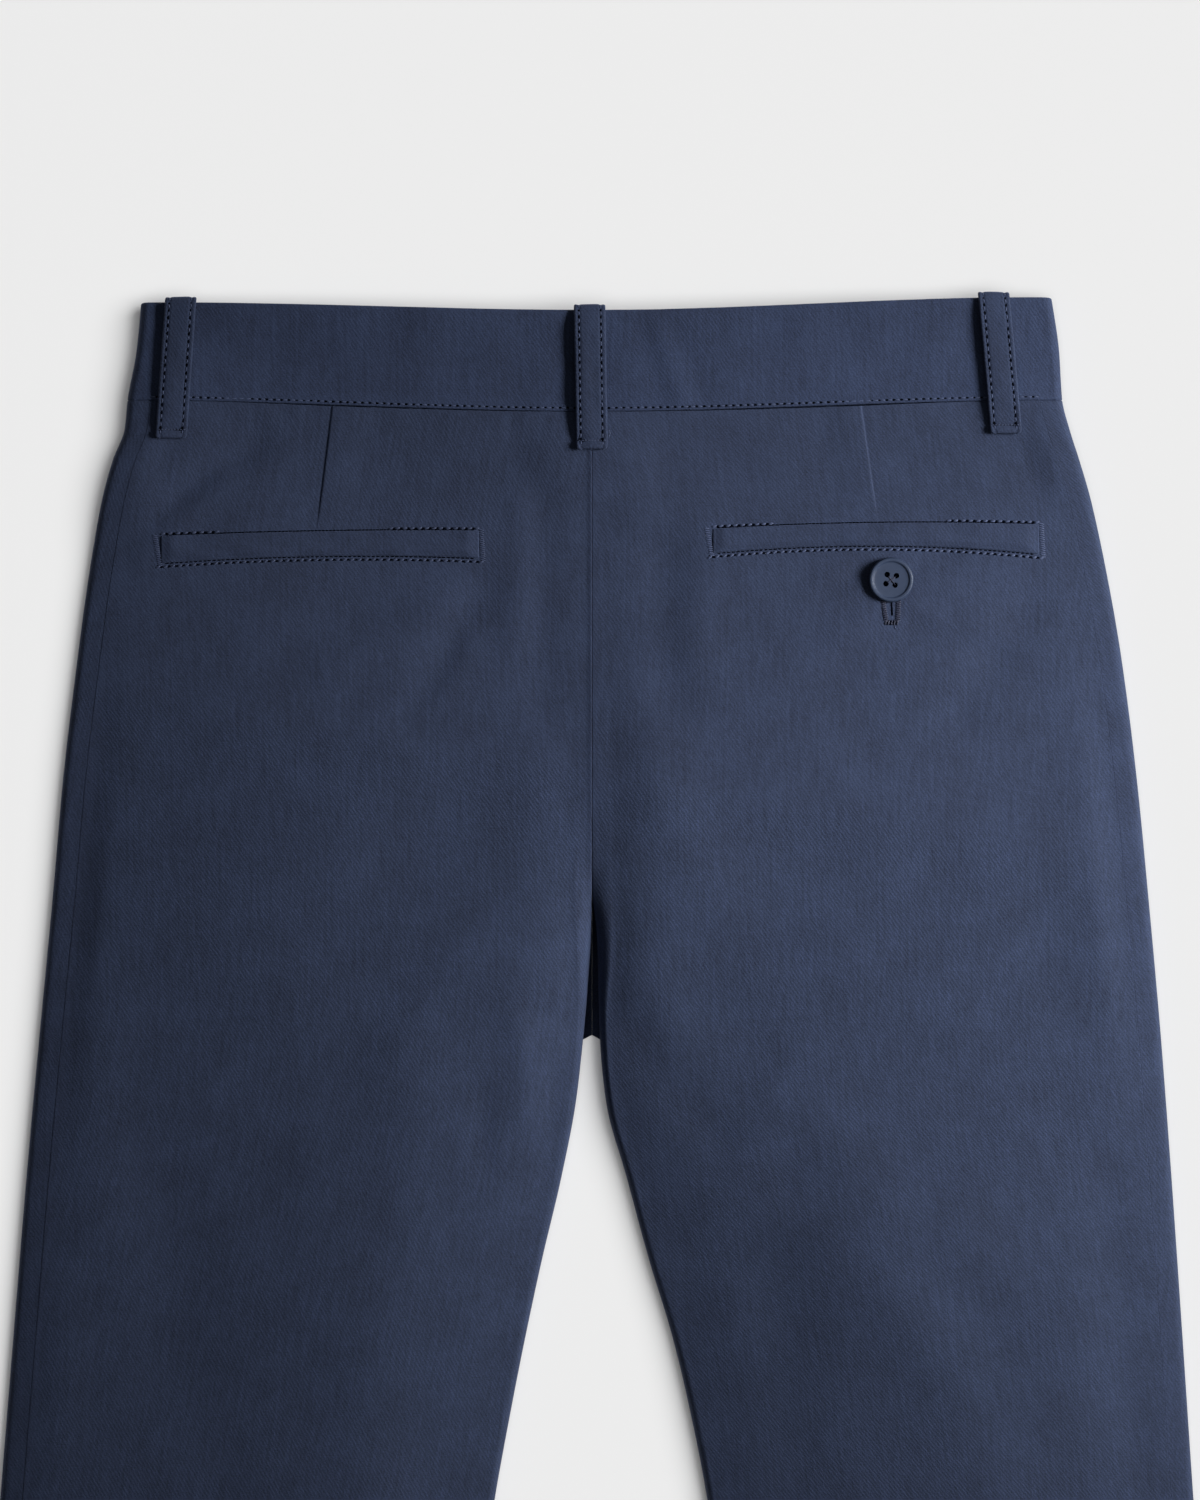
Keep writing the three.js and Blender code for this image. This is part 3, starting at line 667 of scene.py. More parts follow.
def add_node(tree: bpy.types.NodeTree, kind: str, inputs: dict[Any, Any], **settings: Any) -> bpy.types.Node:
    """Adds a node. An input given a socket is linked to it, and any other gets its value.

    Args:
        tree: The node tree.
        kind: The node's type.
        inputs: Values or sockets by input name or number.
        **settings: The node's own settings.

    Returns:
        The node.
    """
    made = tree.nodes.new(kind)
    for name, value in settings.items():
        setattr(made, name, value)
    for key, value in inputs.items():
        if isinstance(value, bpy.types.NodeSocket):
            tree.links.new(value, made.inputs[key])
        else:
            made.inputs[key].default_value = value
    return made


def new_material(name: str) -> tuple[bpy.types.Material, bpy.types.NodeTree]:
    """An empty material and its node tree."""
    material = bpy.data.materials.new(name)
    material.use_nodes = True
    material.node_tree.nodes.clear()
    return material, material.node_tree


def clouded(name: str, colour: str, depth: float, scale: float, detail: float,
            shader: dict[str, Any]) -> bpy.types.Material:
    """A material whose shade drifts between its colour and a deeper one.

    Args:
        name: The material's name.
        colour: Its sRGB hex colour.
        depth: The deeper shade's share of it.
        scale: Scale of the drift on Object coordinates, which are metres.
        detail: Detail of the drift.
        shader: The shader's other settings.

    Returns:
        The material.
    """
    material, tree = new_material(name)
    at = add_node(tree, "ShaderNodeTexCoord", {}).outputs["Object"]
    drift = add_node(tree, "ShaderNodeTexNoise", {
        "Vector": at, "Scale": scale, "Detail": detail}).outputs["Fac"]
    base = linear(colour)
    deep = tuple(depth * c for c in base[:3]) + (1.0,)
    shade = add_node(tree, "ShaderNodeMix", {0: drift, 6: deep, 7: base}, data_type="RGBA").outputs[2]
    lit = add_node(tree, "ShaderNodeBsdfPrincipled", {"Base Color": shade, **shader}).outputs[0]
    add_node(tree, "ShaderNodeOutputMaterial", {"Surface": lit})
    return material


@dataclass(frozen=True)
class CottonTwill:
    """Washed cotton twill, piece-dyed navy: steep ribs that run from upper left to lower right, broken
    into floats of uneven shade, so the eye gets a fine grained diagonal with a soft matt bloom.

    The ribs of the real cloth are about 0.5 mm apart. They are drawn 1.07 mm apart, as coarse as the
    photo's own pixels show them.
    """

    name: str
    dark: str = "#171e31"
    light: str = "#333f5b"
    rib_turn: float = 55.0
    rib_pitch: float = 1.07
    float_length: float = 3.0
    roughness: float = 0.86
    sheen: float = 0.25

    def build(self) -> bpy.types.Material:
        """The shade is a sum of the ribs' wave, long noise for the floats, fine grain, warp slubs and
        slow mottling, and the same ribs and grain raise the surface."""
        material, tree = new_material(self.name)
        cloth = add_node(tree, "ShaderNodeUVMap", {}, uv_map=GRAIN_UV).outputs["UV"]
        turn = (0.0, 0.0, math.radians(90 - self.rib_turn))
        ribs_at = add_node(tree, "ShaderNodeMapping", {
            "Vector": cloth, "Rotation": tuple(-t for t in turn), "Scale": (1000.0, 1000.0, 1000.0)},
            vector_type="POINT").outputs[0]
        ribs = add_node(tree, "ShaderNodeTexWave", {
            "Vector": ribs_at, "Scale": math.pi / 10 / self.rib_pitch, "Distortion": 0.9,
            "Detail": 1.0, "Detail Scale": 2.2}, wave_type="BANDS", bands_direction="X").outputs["Fac"]
        floats_at = add_node(tree, "ShaderNodeMapping", {
            "Vector": ribs_at, "Scale": (1 / self.rib_pitch, 1 / self.float_length, 1.0)}).outputs[0]
        floats = add_node(tree, "ShaderNodeTexNoise", {
            "Vector": floats_at, "Scale": 1.0, "Detail": 2.0, "Roughness": 0.6}).outputs["Fac"]
        grain = add_node(tree, "ShaderNodeTexNoise", {
            "Vector": cloth, "Scale": 1900.0, "Detail": 2.0, "Roughness": 0.65}).outputs["Fac"]
        slubs_at = add_node(tree, "ShaderNodeMapping", {
            "Vector": cloth, "Scale": (900.0, 60.0, 1.0)}).outputs[0]
        slubs = add_node(tree, "ShaderNodeTexNoise", {
            "Vector": slubs_at, "Scale": 1.0, "Detail": 2.0, "Roughness": 0.5}).outputs["Fac"]
        mottle = add_node(tree, "ShaderNodeTexNoise", {
            "Vector": cloth, "Scale": 55.0, "Detail": 3.0, "Roughness": 0.55}).outputs["Fac"]
        shade = self.blend(tree, ((ribs, 0.10), (floats, 0.60), (grain, 1.30), (slubs, 0.60), (mottle, 0.55)))
        colour = add_node(tree, "ShaderNodeMix", {
            0: shade, 6: linear(self.dark), 7: linear(self.light)}, data_type="RGBA").outputs[2]
        relief = self.blend(tree, ((ribs, 0.25), (floats, 0.6), (grain, 0.9)))
        bump = add_node(tree, "ShaderNodeBump", {
            "Strength": 0.55, "Distance": 0.00022, "Height": relief}).outputs[0]
        shader = add_node(tree, "ShaderNodeBsdfPrincipled", {
            "Base Color": colour, "Roughness": self.roughness, "Normal": bump,
            "Sheen Weight": self.sheen, "Sheen Roughness": 0.45, "Sheen Tint": linear("#8c9cc8"),
            "Specular IOR Level": 0.32}).outputs[0]
        add_node(tree, "ShaderNodeOutputMaterial", {"Surface": shader})
        return material

    @staticmethod
    def blend(tree: bpy.types.NodeTree, parts: tuple[tuple[bpy.types.NodeSocket, float], ...],
              ) -> bpy.types.NodeSocket:
        """Half plus the weighted sum of each pattern's difference from its middle value.

        Args:
            tree: The node tree.
            parts: Each pattern's socket and weight.

        Returns:
            The socket of the sum.
        """
        total: Any = 0.5 - sum(weight for _, weight in parts) / 2
        for socket, weight in parts:
            total = add_node(tree, "ShaderNodeMath", {0: socket, 1: weight, 2: total},
                             operation="MULTIPLY_ADD").outputs[0]
        return total


@dataclass(frozen=True)
class SewingThread:
    """Spun polyester sewing thread: rounder and smoother than the cloth, so it catches more light."""

    name: str
    colour: str
    roughness: float = 0.6
    sheen: float = 0.2
    specular: float = 0.5

    def build(self) -> bpy.types.Material:
        """The twist is a fine noise that varies the shade."""
        return clouded(self.name, self.colour, 0.6, 2600.0, 1.0, {
            "Roughness": self.roughness, "Sheen Weight": self.sheen,
            "Specular IOR Level": self.specular, "Sheen Tint": linear("#9aa8d0")})


@dataclass(frozen=True)
class TurnedResin:
    """Turned and tumbled polyester button resin: glossy, a little cloudy, with soft bright arcs on the
    rim."""

    name: str
    colour: str

    def build(self) -> bpy.types.Material:
        """Slow clouds in the shade under a clear gloss."""
        return clouded(self.name, self.colour, 0.8, 420.0, 2.0, {
            "Roughness": 0.42, "Specular IOR Level": 0.28, "Coat Weight": 0.05, "Coat Roughness": 0.25})


@dataclass(frozen=True)
class PaleCard:
    """Smooth matt card under the garment: even and pale, with no texture that the eye can follow."""

    name: str = "matt_pale_card"
    colour: str = "#e6e6e6"

    def build(self) -> bpy.types.Material:
        """A faint tooth in the surface."""
        material, tree = new_material(self.name)
        at = add_node(tree, "ShaderNodeTexCoord", {}).outputs["Object"]
        tooth = add_node(tree, "ShaderNodeTexNoise", {"Vector": at, "Scale": 900.0}).outputs["Fac"]
        bump = add_node(tree, "ShaderNodeBump", {
            "Strength": 0.04, "Distance": 0.0001, "Height": tooth}).outputs[0]
        shader = add_node(tree, "ShaderNodeBsdfPrincipled", {
            "Base Color": linear(self.colour), "Roughness": 0.95, "Specular IOR Level": 0.0,
            "Normal": bump}).outputs[0]
        add_node(tree, "ShaderNodeOutputMaterial", {"Surface": shader})
        return material


@dataclass(frozen=True)
class Finishes:
    """The garment's materials."""

    twill: bpy.types.Material
    band: bpy.types.Material
    trim: bpy.types.Material
    thread: bpy.types.Material
    bright_thread: bpy.types.Material
    needle: bpy.types.Material
    dark_thread: bpy.types.Material
    resin: bpy.types.Material

    @classmethod
    def build(cls) -> "Finishes":
        """Makes each material once."""
        return cls(
            twill=CottonTwill("cotton_twill_navy").build(),
            # Painted light: the band's copy of the twill is a little lighter than the panels' to make the
            # band look brighter lit, and the trim copy for welts and loops is a touch darker. All three are
            # the same cloth.
            band=CottonTwill("cotton_twill_navy_band_painted_lighter", dark="#181f33", light="#34415f").build(),
            trim=CottonTwill("cotton_twill_navy_trim", dark="#171e31", light="#323e5a").build(),
            thread=SewingThread("polyester_thread_navy", "#333e5c").build(),
            bright_thread=SewingThread("polyester_thread_slate", "#414d6e").build(),
            # Painted shade: a near-black finish with no sheen or gloss, put in the stitch holes, the
            # buttonhole's slit and between its purl stitches, along the pocket mouths and in the button's
            # holes, where shadow falls.
            needle=SewingThread("needle_hole_shadow", "#0b0e17", 0.9, 0.0, 0.0).build(),
            dark_thread=SewingThread("polyester_thread_indigo", "#292e47").build(),
            resin=TurnedResin("polyester_resin_slate", "#313c52").build(),
        )


@dataclass(frozen=True)
class Panels:
    """The two back panels and the two front panels, each with its leg."""

    half: Half
    wall: float = 0.9
    row_step: float = 1.9
    leg_row_step: float = 4.6
    column_step: float = 1.75
    photo_end: float = 425.0
    seam_reach: float = 60.0
    half_width: float = 82.0
    front_width: float = 165.0

    def levels(self) -> Array:
        """Levels of the rows, close together at the waist seam and the hem."""
        upper = WAIST_SEAM + graded(self.photo_end - WAIST_SEAM, self.row_step)
        lower = self.photo_end + graded(HEM - self.photo_end, self.leg_row_step)
        return np.concatenate([upper[:-5], lower[5:]])

    def level(self, face: Face, share: Array, row_level: Array) -> Array:
        """Level of a point: the first rows follow the curve of the waist seam."""
        seam = BAND[self.half.side].edge("seam", face, share) + SEAM_GAP / 2
        follow = np.maximum(0, 1 - (row_level - WAIST_SEAM) / self.seam_reach)
        return row_level + (seam - WAIST_SEAM) * follow

    def back_shares(self) -> Array:
        """Shares of the upper side's width, close together at the seams and the dart, at 0.5."""
        half = graded(self.half_width, self.column_step, (0.02, 0.15, 0.4, 0.8, 1.5))
        half = half / (2 * self.half_width)
        return np.concatenate([half, 1 - half[-2::-1]])

    def back_grid(self) -> tuple[Array, Array]:
        """From the side seam over the crown to the centre back seam, and below the fork rolled down
        over the inner edge of the leg, along an arc of growing curvature.

        Returns:
            The grid of points and its cloth coordinates.
        """
        side = self.half.side
        shares = self.back_shares()
        down = self.level(Face.BACK, shares[None, :], self.levels()[:, None])
        section = Section.at(side, down)
        start = SIDE_SEAM_INSET + 0.02
        dart = self.half.dart.inset(section, down)
        inset = np.where(shares < 0.5, start + (dart - start) * shares / 0.5,
                         dart + (section.end - dart) * (shares - 0.5) / 0.5)
        z = self.half.height(section, inset, down) + self.half.dart.crease(inset - dart, down)
        z += 0.07 * (1 - smoothstep(0, 5, inset - start))
        crown = place(section.outer - side.sign * inset, down, z)
        edge = section.column(-1)
        run = edge.strip * np.array([0.12, 0.25, 0.38, 0.5, 0.62, 0.74, 0.84, 0.9, 0.95, 0.98, 0.996, 1.0])
        turned = edge.inner_slope + edge.bend * run
        bend = np.maximum(edge.bend, 1e-4)
        flat = edge.bend < 1e-4
        across = np.where(flat, run * np.cos(edge.inner_slope),
                          (np.sin(turned) - np.sin(edge.inner_slope)) / bend)
        drop = np.where(flat, run * np.sin(edge.inner_slope),
                        (np.cos(edge.inner_slope) - np.cos(turned)) / bend)
        raised = (crown[:, -1:, 2] - edge.crown(edge.end)) * edge.split
        drop = drop * (1 + raised / np.maximum(drop[:, -1:], 0.5))
        low, end = down[:, -1:], crown[:, -1:, 0]
        x = end - side.sign * across
        drop = drop - (swells(x, low) - swells(end, low)) * (1 - edge.split)
        if side is Side.LEFT:
            ridge = 0.25 * (1 - smoothstep(0.3, 1.8, across[:, -1:] - across))
            drop = drop - ridge * (1 - edge.split) * smoothstep(38, 46, low)
        strip = place(x, low, crown[:, -1:, 2] - drop)
        grid = np.concatenate([crown, strip], axis=1)
        return grid, self.cloth(grid, len(shares) // 2)

    def front_grid(self) -> tuple[Array, Array]:
        """Flat on the table from the centre front or the inseam, then round the folded edge, a half
        circle, and up the start of the crown to the side seam.

        Returns:
            The grid of points and its cloth coordinates.
        """
        side = self.half.side
        shares = 1 - graded(self.front_width, 4.0) / self.front_width
        level = self.levels()[:, None]
        down = self.level(Face.FRONT, shares[None, :], level)
        section = Section.at(side, down)
        inner = np.where(down < CROTCH, side.sign * SEAM_GAP / 2, section.inner + side.sign * 0.6)
        flat = section.under(side, shares, down, inner)
        beside = self.level(Face.FRONT, np.zeros(1), level)
        section = Section.at(side, beside)
        angle = -math.pi / 2 + (math.pi - section.outer_slope) * np.linspace(0, 1, 15)[1:]
        fold = section.round_fold(side, angle, beside)
        end = SIDE_SEAM_INSET - 0.02
        shares = np.array([0.25, 0.5, 0.7, 0.84, 0.92, 0.96, 0.985, 0.996, 1])
        inset = section.start + (end - section.start) * shares
        rise = place(section.outer - side.sign * inset, beside, self.half.height(section, inset, beside))
        grid = np.concatenate([flat, fold, rise], axis=1)
        return grid, self.cloth(grid, 20)

    @staticmethod
    def cloth(grid: Array, reference: int) -> Array:
        """Cloth coordinates in metres: across from one column of the grid, and along from the waist."""
        across = walked(grid, 1)
        across = across - across[:, reference, None]
        return np.stack([across, grid[..., 1]], axis=-1) * MM

    def build(self, finishes: Finishes) -> None:
        """Makes the back and the front panel of this half.

        Args:
            finishes: The garment's materials.
        """
        side = self.half.side
        grid, uv = self.back_grid()
        uv = uv * np.array([-side.sign, 1])
        name = f"back_panel_{side.value}"
        rims = Rims(FLAT_SEAM_RIM, Rim(0.45), SIDE_SEAM_RIM, FLAT_SEAM_RIM)
        back = make_piece(name, shell(name, grid, self.wall, uv, rims), finishes.twill,
                          (f"back_{side.value}",))
        grid, uv = self.front_grid()
        uv = uv * np.array([-side.sign, 1])
        name = f"front_panel_{side.value}"
        rims = Rims(SEAM_RIM, Rim(0.45), SEAM_RIM, SIDE_SEAM_RIM)
        front = make_piece(name, shell(name, grid, self.wall, uv, rims, up=-1), finishes.twill,
                           (f"front_{side.value}",))


@dataclass(frozen=True)
class Waistband:
    """One half of the waistband, with its layers sewn together."""

    half: Half
    wall: float = 1.8
    width: float = 155.0

    def grid(self) -> tuple[Array, Array]:
        """From the centre back over the crown, round the side fold, and under to the centre front. The
        lower edge stands up over the seam's layers.

        Returns:
            The grid of points and its cloth coordinates.
        """
        side = self.half.side
        height = graded(WAIST_SEAM, 1.0, (0.02, 0.15, 0.45, 0.9, 1.5))[:, None] / WAIST_SEAM

        def level(face: Face, share: Array) -> Array:
            """Level of each row at a share of the way from the side to the centre."""
            top = BAND[side].edge("top", face, share)
            return top + (BAND[side].edge("seam", face, share) - SEAM_GAP / 2 - top) * height

        shares = 1 - graded(self.width, 1.6)[:-1] / self.width
        down = level(Face.BACK, shares[None, :])
        section = Section.at(side, down)
        inset = section.start + (section.width - section.start) * shares
        z = self.half.height(section, np.minimum(inset, section.end), down)
        worn = unevenness(section.outer - side.sign * inset, down * 0.6, 0.10, 24, 3)
        z += (0.3 * smoothstep(0.86, 1, height) + worn) * smoothstep(0, 7, inset - section.start)
        upper = place(section.outer - side.sign * inset, down, z)
        beside = level(Face.BACK, np.zeros(1))
        section = Section.at(side, beside)
        angle = math.pi / 2 - section.outer_slope - (math.pi - section.outer_slope) * np.linspace(0, 1, 15)
        fold = section.round_fold(side, angle, beside)
        shares = graded(self.width, 4.0)[1:] / self.width
        down = level(Face.FRONT, shares[None, :])
        section = Section.at(side, down)
        lower = section.under(side, shares, down, section.inner)
        grid = np.concatenate([upper, fold, lower], axis=1)
        uv = np.stack([walked(grid, 1) * side.sign, grid[..., 1]], axis=-1) * MM
        return grid, uv

    def build(self, finishes: Finishes) -> None:
        """Makes this half of the waistband.

        Args:
            finishes: The garment's materials.
        """
        side = self.half.side
        grid, uv = self.grid()
        name = f"waistband_shell_{side.value}"
        rims = Rims(Rim(0.9), Rim(0.6, 0.4), SEAM_RIM, SEAM_RIM)
        mesh = shell(name, grid, self.wall, uv, rims, mark=slice(0, 20))
        band = make_piece(name, mesh, finishes.band, (f"waistband_{side.value}",))


@dataclass(frozen=True)
class PocketWelt:
    """The welt of one back pocket: ends, with the levels of its upper and lower edges at the start,
    the middle and the end."""

    side: Side
    x: float
    to_x: float
    top: tuple[float, float, float]
    bottom: tuple[float, float, float]
    lift: float = 0.25
    wall: float = 0.85

    @staticmethod
    def bowed(levels: tuple[float, float, float], share: Array) -> Array:
        """A parabola through the start, the middle and the end."""
        start, middle, end = levels
        return start + (end - start) * share + 4 * (middle - (start + end) / 2) * share * (1 - share)

    def at(self, share: Array, across: Array) -> tuple[Array, Array]:
        """Place on the welt, with across 0 at its upper edge and 1 at its lower edge."""
        top = self.bowed(self.top, share)
        return self.x + (self.to_x - self.x) * share, top + (self.bowed(self.bottom, share) - top) * across

    def build(self, finishes: Finishes) -> None:
        """Lies on the panel's own surface. Its upper edge stands up as a pocket's mouth does, and its
        lower edge is held down by the seam.

        Args:
            finishes: The garment's materials.
        """
        length = abs(self.to_x - self.x)
        share = graded(length, 1.4)[None, :] / length
        across = graded(9, 0.55, (0.1, 0.3, 0.6, 0.9))[:, None] / 9
        x, down = self.at(share, across)
        from_end = np.minimum(share, 1 - share) * length
        held = np.maximum(0.5 * smoothstep(0.72, 1, across), 0.75 * (1 - smoothstep(0.5, 4, from_end)))
        worn = unevenness(x, down * 2, 0.09, 16, 21)
        z = over_cloth(x, down) + self.lift + self.wall - held + worn
        grid = place(x, down, z)
        uv = np.stack([grid[..., 0], grid[..., 1]], axis=-1) * MM
        name = f"pocket_welt_cloth_{self.side.value}"
        mesh = shell(name, grid, self.wall - 0.1, uv, Rims.alike(0.4))
        welt = make_piece(name, mesh, finishes.trim, (f"pocket_welt_{self.side.value}",))


WELTS = {
    Side.LEFT: PocketWelt(Side.LEFT, -148.7, -39.0, (78.0, 76.4, 76.2), (87.3, 84.9, 85.6)),
    Side.RIGHT: PocketWelt(Side.RIGHT, 41.6, 154.2, (75.6, 73.6, 74.0), (84.0, 81.4, 84.2)),
}


@dataclass(frozen=True)
class BeltLoop:
    """A belt loop: place along the waist at its upper and lower end, and how far it stands clear of
    the band."""

    name: str
    side: Side
    top_x: float
    end_x: float
    end: float
    clear: float
    face: Face = Face.BACK
    width: float = 10.9
    wall: float = 1.3
    stitch_inset: float = 1.7
    bar_above_end: float = 2.9
    step: float = 0.8

    def stations(self) -> Array:
        """Level and lift of the strap's middle at the places that it passes."""
        outer = Section.at(self.side, np.zeros(1)).outer[0]
        share = np.array(1 - abs(self.top_x) / abs(outer))
        top = float(BAND[self.side].edge("top", self.face, share))
        pressed = SOLID_GAP + self.wall / 2
        if self.face is Face.FRONT:
            return np.array([
                (top - 1, pressed), (16, pressed + 0.2), (32, pressed + 0.2), (self.end, pressed)])
        over, raised = top - pressed - 0.1, self.clear + self.wall / 2
        return np.array([
            (over, -1.4), (over, 0.4), (top + 1.2, 1.45), (top + 6, raised), (20, raised), (31, raised),
            (self.end - 6, min(raised, 1.55)), (self.end - 3, pressed + 0.15),
            (self.end - 1.4, pressed + 0.65), (self.end, pressed + 0.5),
        ])

    def path(self, step: float) -> tuple[Array, Array]:
        """A curve through the stations: a cubic between each two, with slopes from their neighbours.

        Args:
            step: Distance between the points.

        Returns:
            Points as (level, lift), and their directions.
        """
        knots = self.stations()
        time = np.concatenate([[0], np.cumsum(np.sqrt(np.linalg.norm(np.diff(knots, axis=0), axis=1)))])
        speed = np.diff(knots, axis=0) / np.diff(time)[:, None]
        gap = np.diff(time)[:, None]
        middle = (speed[:-1] * gap[1:] + speed[1:] * gap[:-1]) / (gap[1:] + gap[:-1])
        tangent = np.concatenate([speed[:1], middle, speed[-1:]])
        fine = np.linspace(0, time[-1], 600)
        row = np.clip(np.searchsorted(time, fine) - 1, 0, len(time) - 2)
        span = (time[row + 1] - time[row])[:, None]
        curve = cubic(knots, tangent, row, span, (fine - time[row])[:, None] / span)
        length = walked(curve, 0)
        asked = graded(length[-1], step, (0.15, 0.4, 0.8, 1.3))
        points = np.stack([np.interp(asked, length, curve[:, k]) for k in (0, 1)], axis=1)
        return points, unit(np.gradient(points, axis=0))

    def on_strap(self, points: Array, run: Array, across: Array, offset: Array) -> Array:
        """Points of the strap, at distances across it and out of its middle.

        Args:
            points: The path's points.
            run: The path's directions.
            across: Distance from the strap's middle line.
            offset: Distance out of its mid-wall.

        Returns:
            Points of the garment's frame.
        """
        first = self.stations()[0, 0]
        share = (points[:, :1] - first) / (self.end - first)
        x = self.top_x + (self.end_x - self.top_x) * share + across
        lift = points[:, 1:] + offset * run[:, :1]
        down = points[:, :1] - offset * run[:, 1:]
        if self.face is Face.FRONT:
            return place(x, down, FORM.at("floor", np.zeros(1)) - lift)
        top = self.stations()[0, 0] + SOLID_GAP + self.wall / 2 + 0.1
        return place(x, down, over_cloth(x, np.maximum(down, top)) + lift)

    def build(self, finishes: Finishes) -> None:
        """A folded strap, a little fuller in its middle and pulled in along its two rows of sewing,
        with rounded corners.

        Args:
            finishes: The garment's materials.
        """
        points, run = self.path(self.step)
        walk = walked(points, 0)
        corner = 0.8 * (1 - rounding(np.minimum(walk, walk[-1] - walk), 1.6))[:, None]
        across = (graded(self.width, 0.42, (0.1, 0.3, 0.6)) - self.width / 2)[None, :]
        row = self.width / 2 - self.stitch_inset
        dent = 0.22 * np.exp(-(((np.abs(across) - row) / 0.45) ** 2))
        full = 0.12 * (1 - (across / row) ** 2).clip(0)
        bar = 0.2 * np.exp(-(((walk[-1] - walk[:, None] - self.bar_above_end) / 0.5) ** 2))
        worn = unevenness(across * 1.4, walk[:, None], 0.07, 9, len(self.name))
        offset = self.wall / 2 + full - dent - bar + worn
        grid = self.on_strap(points, run, across * (1 - corner / (self.width / 2)), offset)
        uv = np.stack(np.broadcast_arrays(across, -walk[:, None]), axis=-1) * MM
        name = f"{self.name}_strap"
        up = 1 if self.face is Face.BACK else -1
        mesh = shell(name, grid, self.wall, uv, Rims.alike(0.6), up=up)
        strap = make_piece(name, mesh, finishes.trim, (self.name,))


LOOPS = (
    BeltLoop("belt_loop_back_left", Side.LEFT, -141.7, -145.1, 44.3, 0.8),
    BeltLoop("belt_loop_back_center", Side.RIGHT, -0.8, 0.0, 48.2, 2.0),
    BeltLoop("belt_loop_back_right", Side.RIGHT, 138.4, 142.7, 42.7, 1.4),
    BeltLoop("belt_loop_front_left", Side.LEFT, -82.0, -84.0, 48.0, 0.0, Face.FRONT),
    BeltLoop("belt_loop_front_right", Side.RIGHT, 82.0, 84.0, 48.0, 0.0, Face.FRONT),
)


@dataclass(frozen=True)
class Grain:
    """The shape of one stitch that shows: a grain of rice, pointed at both ends."""

    length: float = 1.9
    width: float = 0.55
    height: float = 0.36
    sides: int = 6

    def mesh(self, name: str, at: Array, along: Array, normal: Array) -> bpy.types.Mesh:
        """Repeats the grain in a row: rings of a spindle, whose radius is the root of 1 - t^2.

        Args:
            name: The mesh's name.
            at: Middles of the stitches, (n, 3).
            along: Their directions, (n, 3).
            normal: The cloth's normals under them, (n, 3).

        Returns:
            One mesh of all the stitches.
        """
        along = unit(along)
        sideways = unit(np.cross(normal, along))
        up = np.cross(along, sideways)
        t = np.array([-0.82, -0.4, 0.4, 0.82])
        angle = np.arange(self.sides) * 2 * math.pi / self.sides
        ring = np.sqrt(1 - t ** 2)[:, None]
        local = np.stack(np.broadcast_arrays(
            t[:, None] * self.length / 2, ring * np.cos(angle) * self.width / 2,
            ring * np.sin(angle) * self.height / 2), axis=-1).reshape(-1, 3)
        local = np.concatenate([local, [[-self.length / 2, 0, 0], [self.length / 2, 0, 0]]])
        basis = np.stack([along, sideways, up], axis=1)
        points = at[:, None, :] + np.einsum("vk,nkc->nvc", local, basis)
        quads, caps = spindle_faces(len(t), self.sides)
        shift = (np.arange(len(at)) * len(local))[:, None, None]
        return put_mesh(name, points.reshape(-1, 3),
                        [(quads + shift).reshape(-1, 4), (caps + shift).reshape(-1, 3)])


@dataclass(frozen=True)
class Row:
    """Stitches spaced along a line: their middles, directions and the cloth's normals."""

    at: Array
    along: Array
    normal: Array

    @classmethod
    def follow(cls, line: Array, normal: Array, pitch: float, seed: int = 0, slack: float = 0.05) -> "Row":
        """Walks a line and sets a stitch each pitch, a little unevenly.

        Args:
            line: Points of the line, (n, 3).
            normal: The cloth's normals there, (n, 3).
            pitch: Distance from stitch to stitch.
            seed: Seed of the unevenness.
            slack: Unevenness as a share of the pitch.

        Returns:
            The row.
        """
        walk = walked(line, 0)
        count = max(1, int(walk[-1] / pitch))
        draw = np.random.default_rng(seed)
        asked = (np.arange(count) + 0.5) * walk[-1] / count + draw.uniform(-slack, slack, count) * pitch
        at = np.stack([np.interp(asked, walk, line[:, k]) for k in range(3)], axis=1)
        up = unit(np.stack([np.interp(asked, walk, normal[:, k]) for k in range(3)], axis=1))
        ahead = np.stack([np.interp(asked + 0.5, walk, line[:, k]) for k in range(3)], axis=1)
        behind = np.stack([np.interp(asked - 0.5, walk, line[:, k]) for k in range(3)], axis=1)
        return cls(at, unit(ahead - behind), up)

    @classmethod
    def on_cloth(cls, x: Array, down: Array, lift: float, pitch: float, seed: int = 0) -> "Row":
        """A row on the upper side along a line of places, lift above the cloth."""
        z = over_cloth(x, down)
        slope_x = over_cloth(x + 0.5, down) - over_cloth(x - 0.5, down)
        slope_down = over_cloth(x, down + 0.5) - over_cloth(x, down - 0.5)
        normal = unit(np.stack([-slope_x, slope_down, np.ones_like(z)], axis=-1))
        return cls.follow(place(x, down, z + lift), normal, pitch, seed)

    def slanted(self, degrees: float) -> "Row":
        """The same row with each stitch turned on the cloth."""
        turn = math.radians(degrees)
        side = np.cross(self.normal, self.along)
        return Row(self.at, self.along * math.cos(turn) + side * math.sin(turn), self.normal)

    def between(self, drop: float) -> "Row":
        """Places for the painted shade of the stitch holes: midway between one stitch and the next, a little
        lower.
        """
        middle = (self.at[:-1] + self.at[1:]) / 2 - self.normal[:-1] * drop
        return Row(middle, self.along[:-1], self.normal[:-1])

    @staticmethod
    def joined(rows: list["Row"]) -> "Row":
        """Several rows as one."""
        return Row(*(np.concatenate([getattr(r, name) for r in rows]) for name in ("at", "along", "normal")))


def stitched(name: str, row: Row, grain: Grain, finish: bpy.types.Material) -> None:
    """Makes a row of stitches a piece of the garment."""
    make_piece(name, grain.mesh(name, row.at, row.along, row.normal), finish)


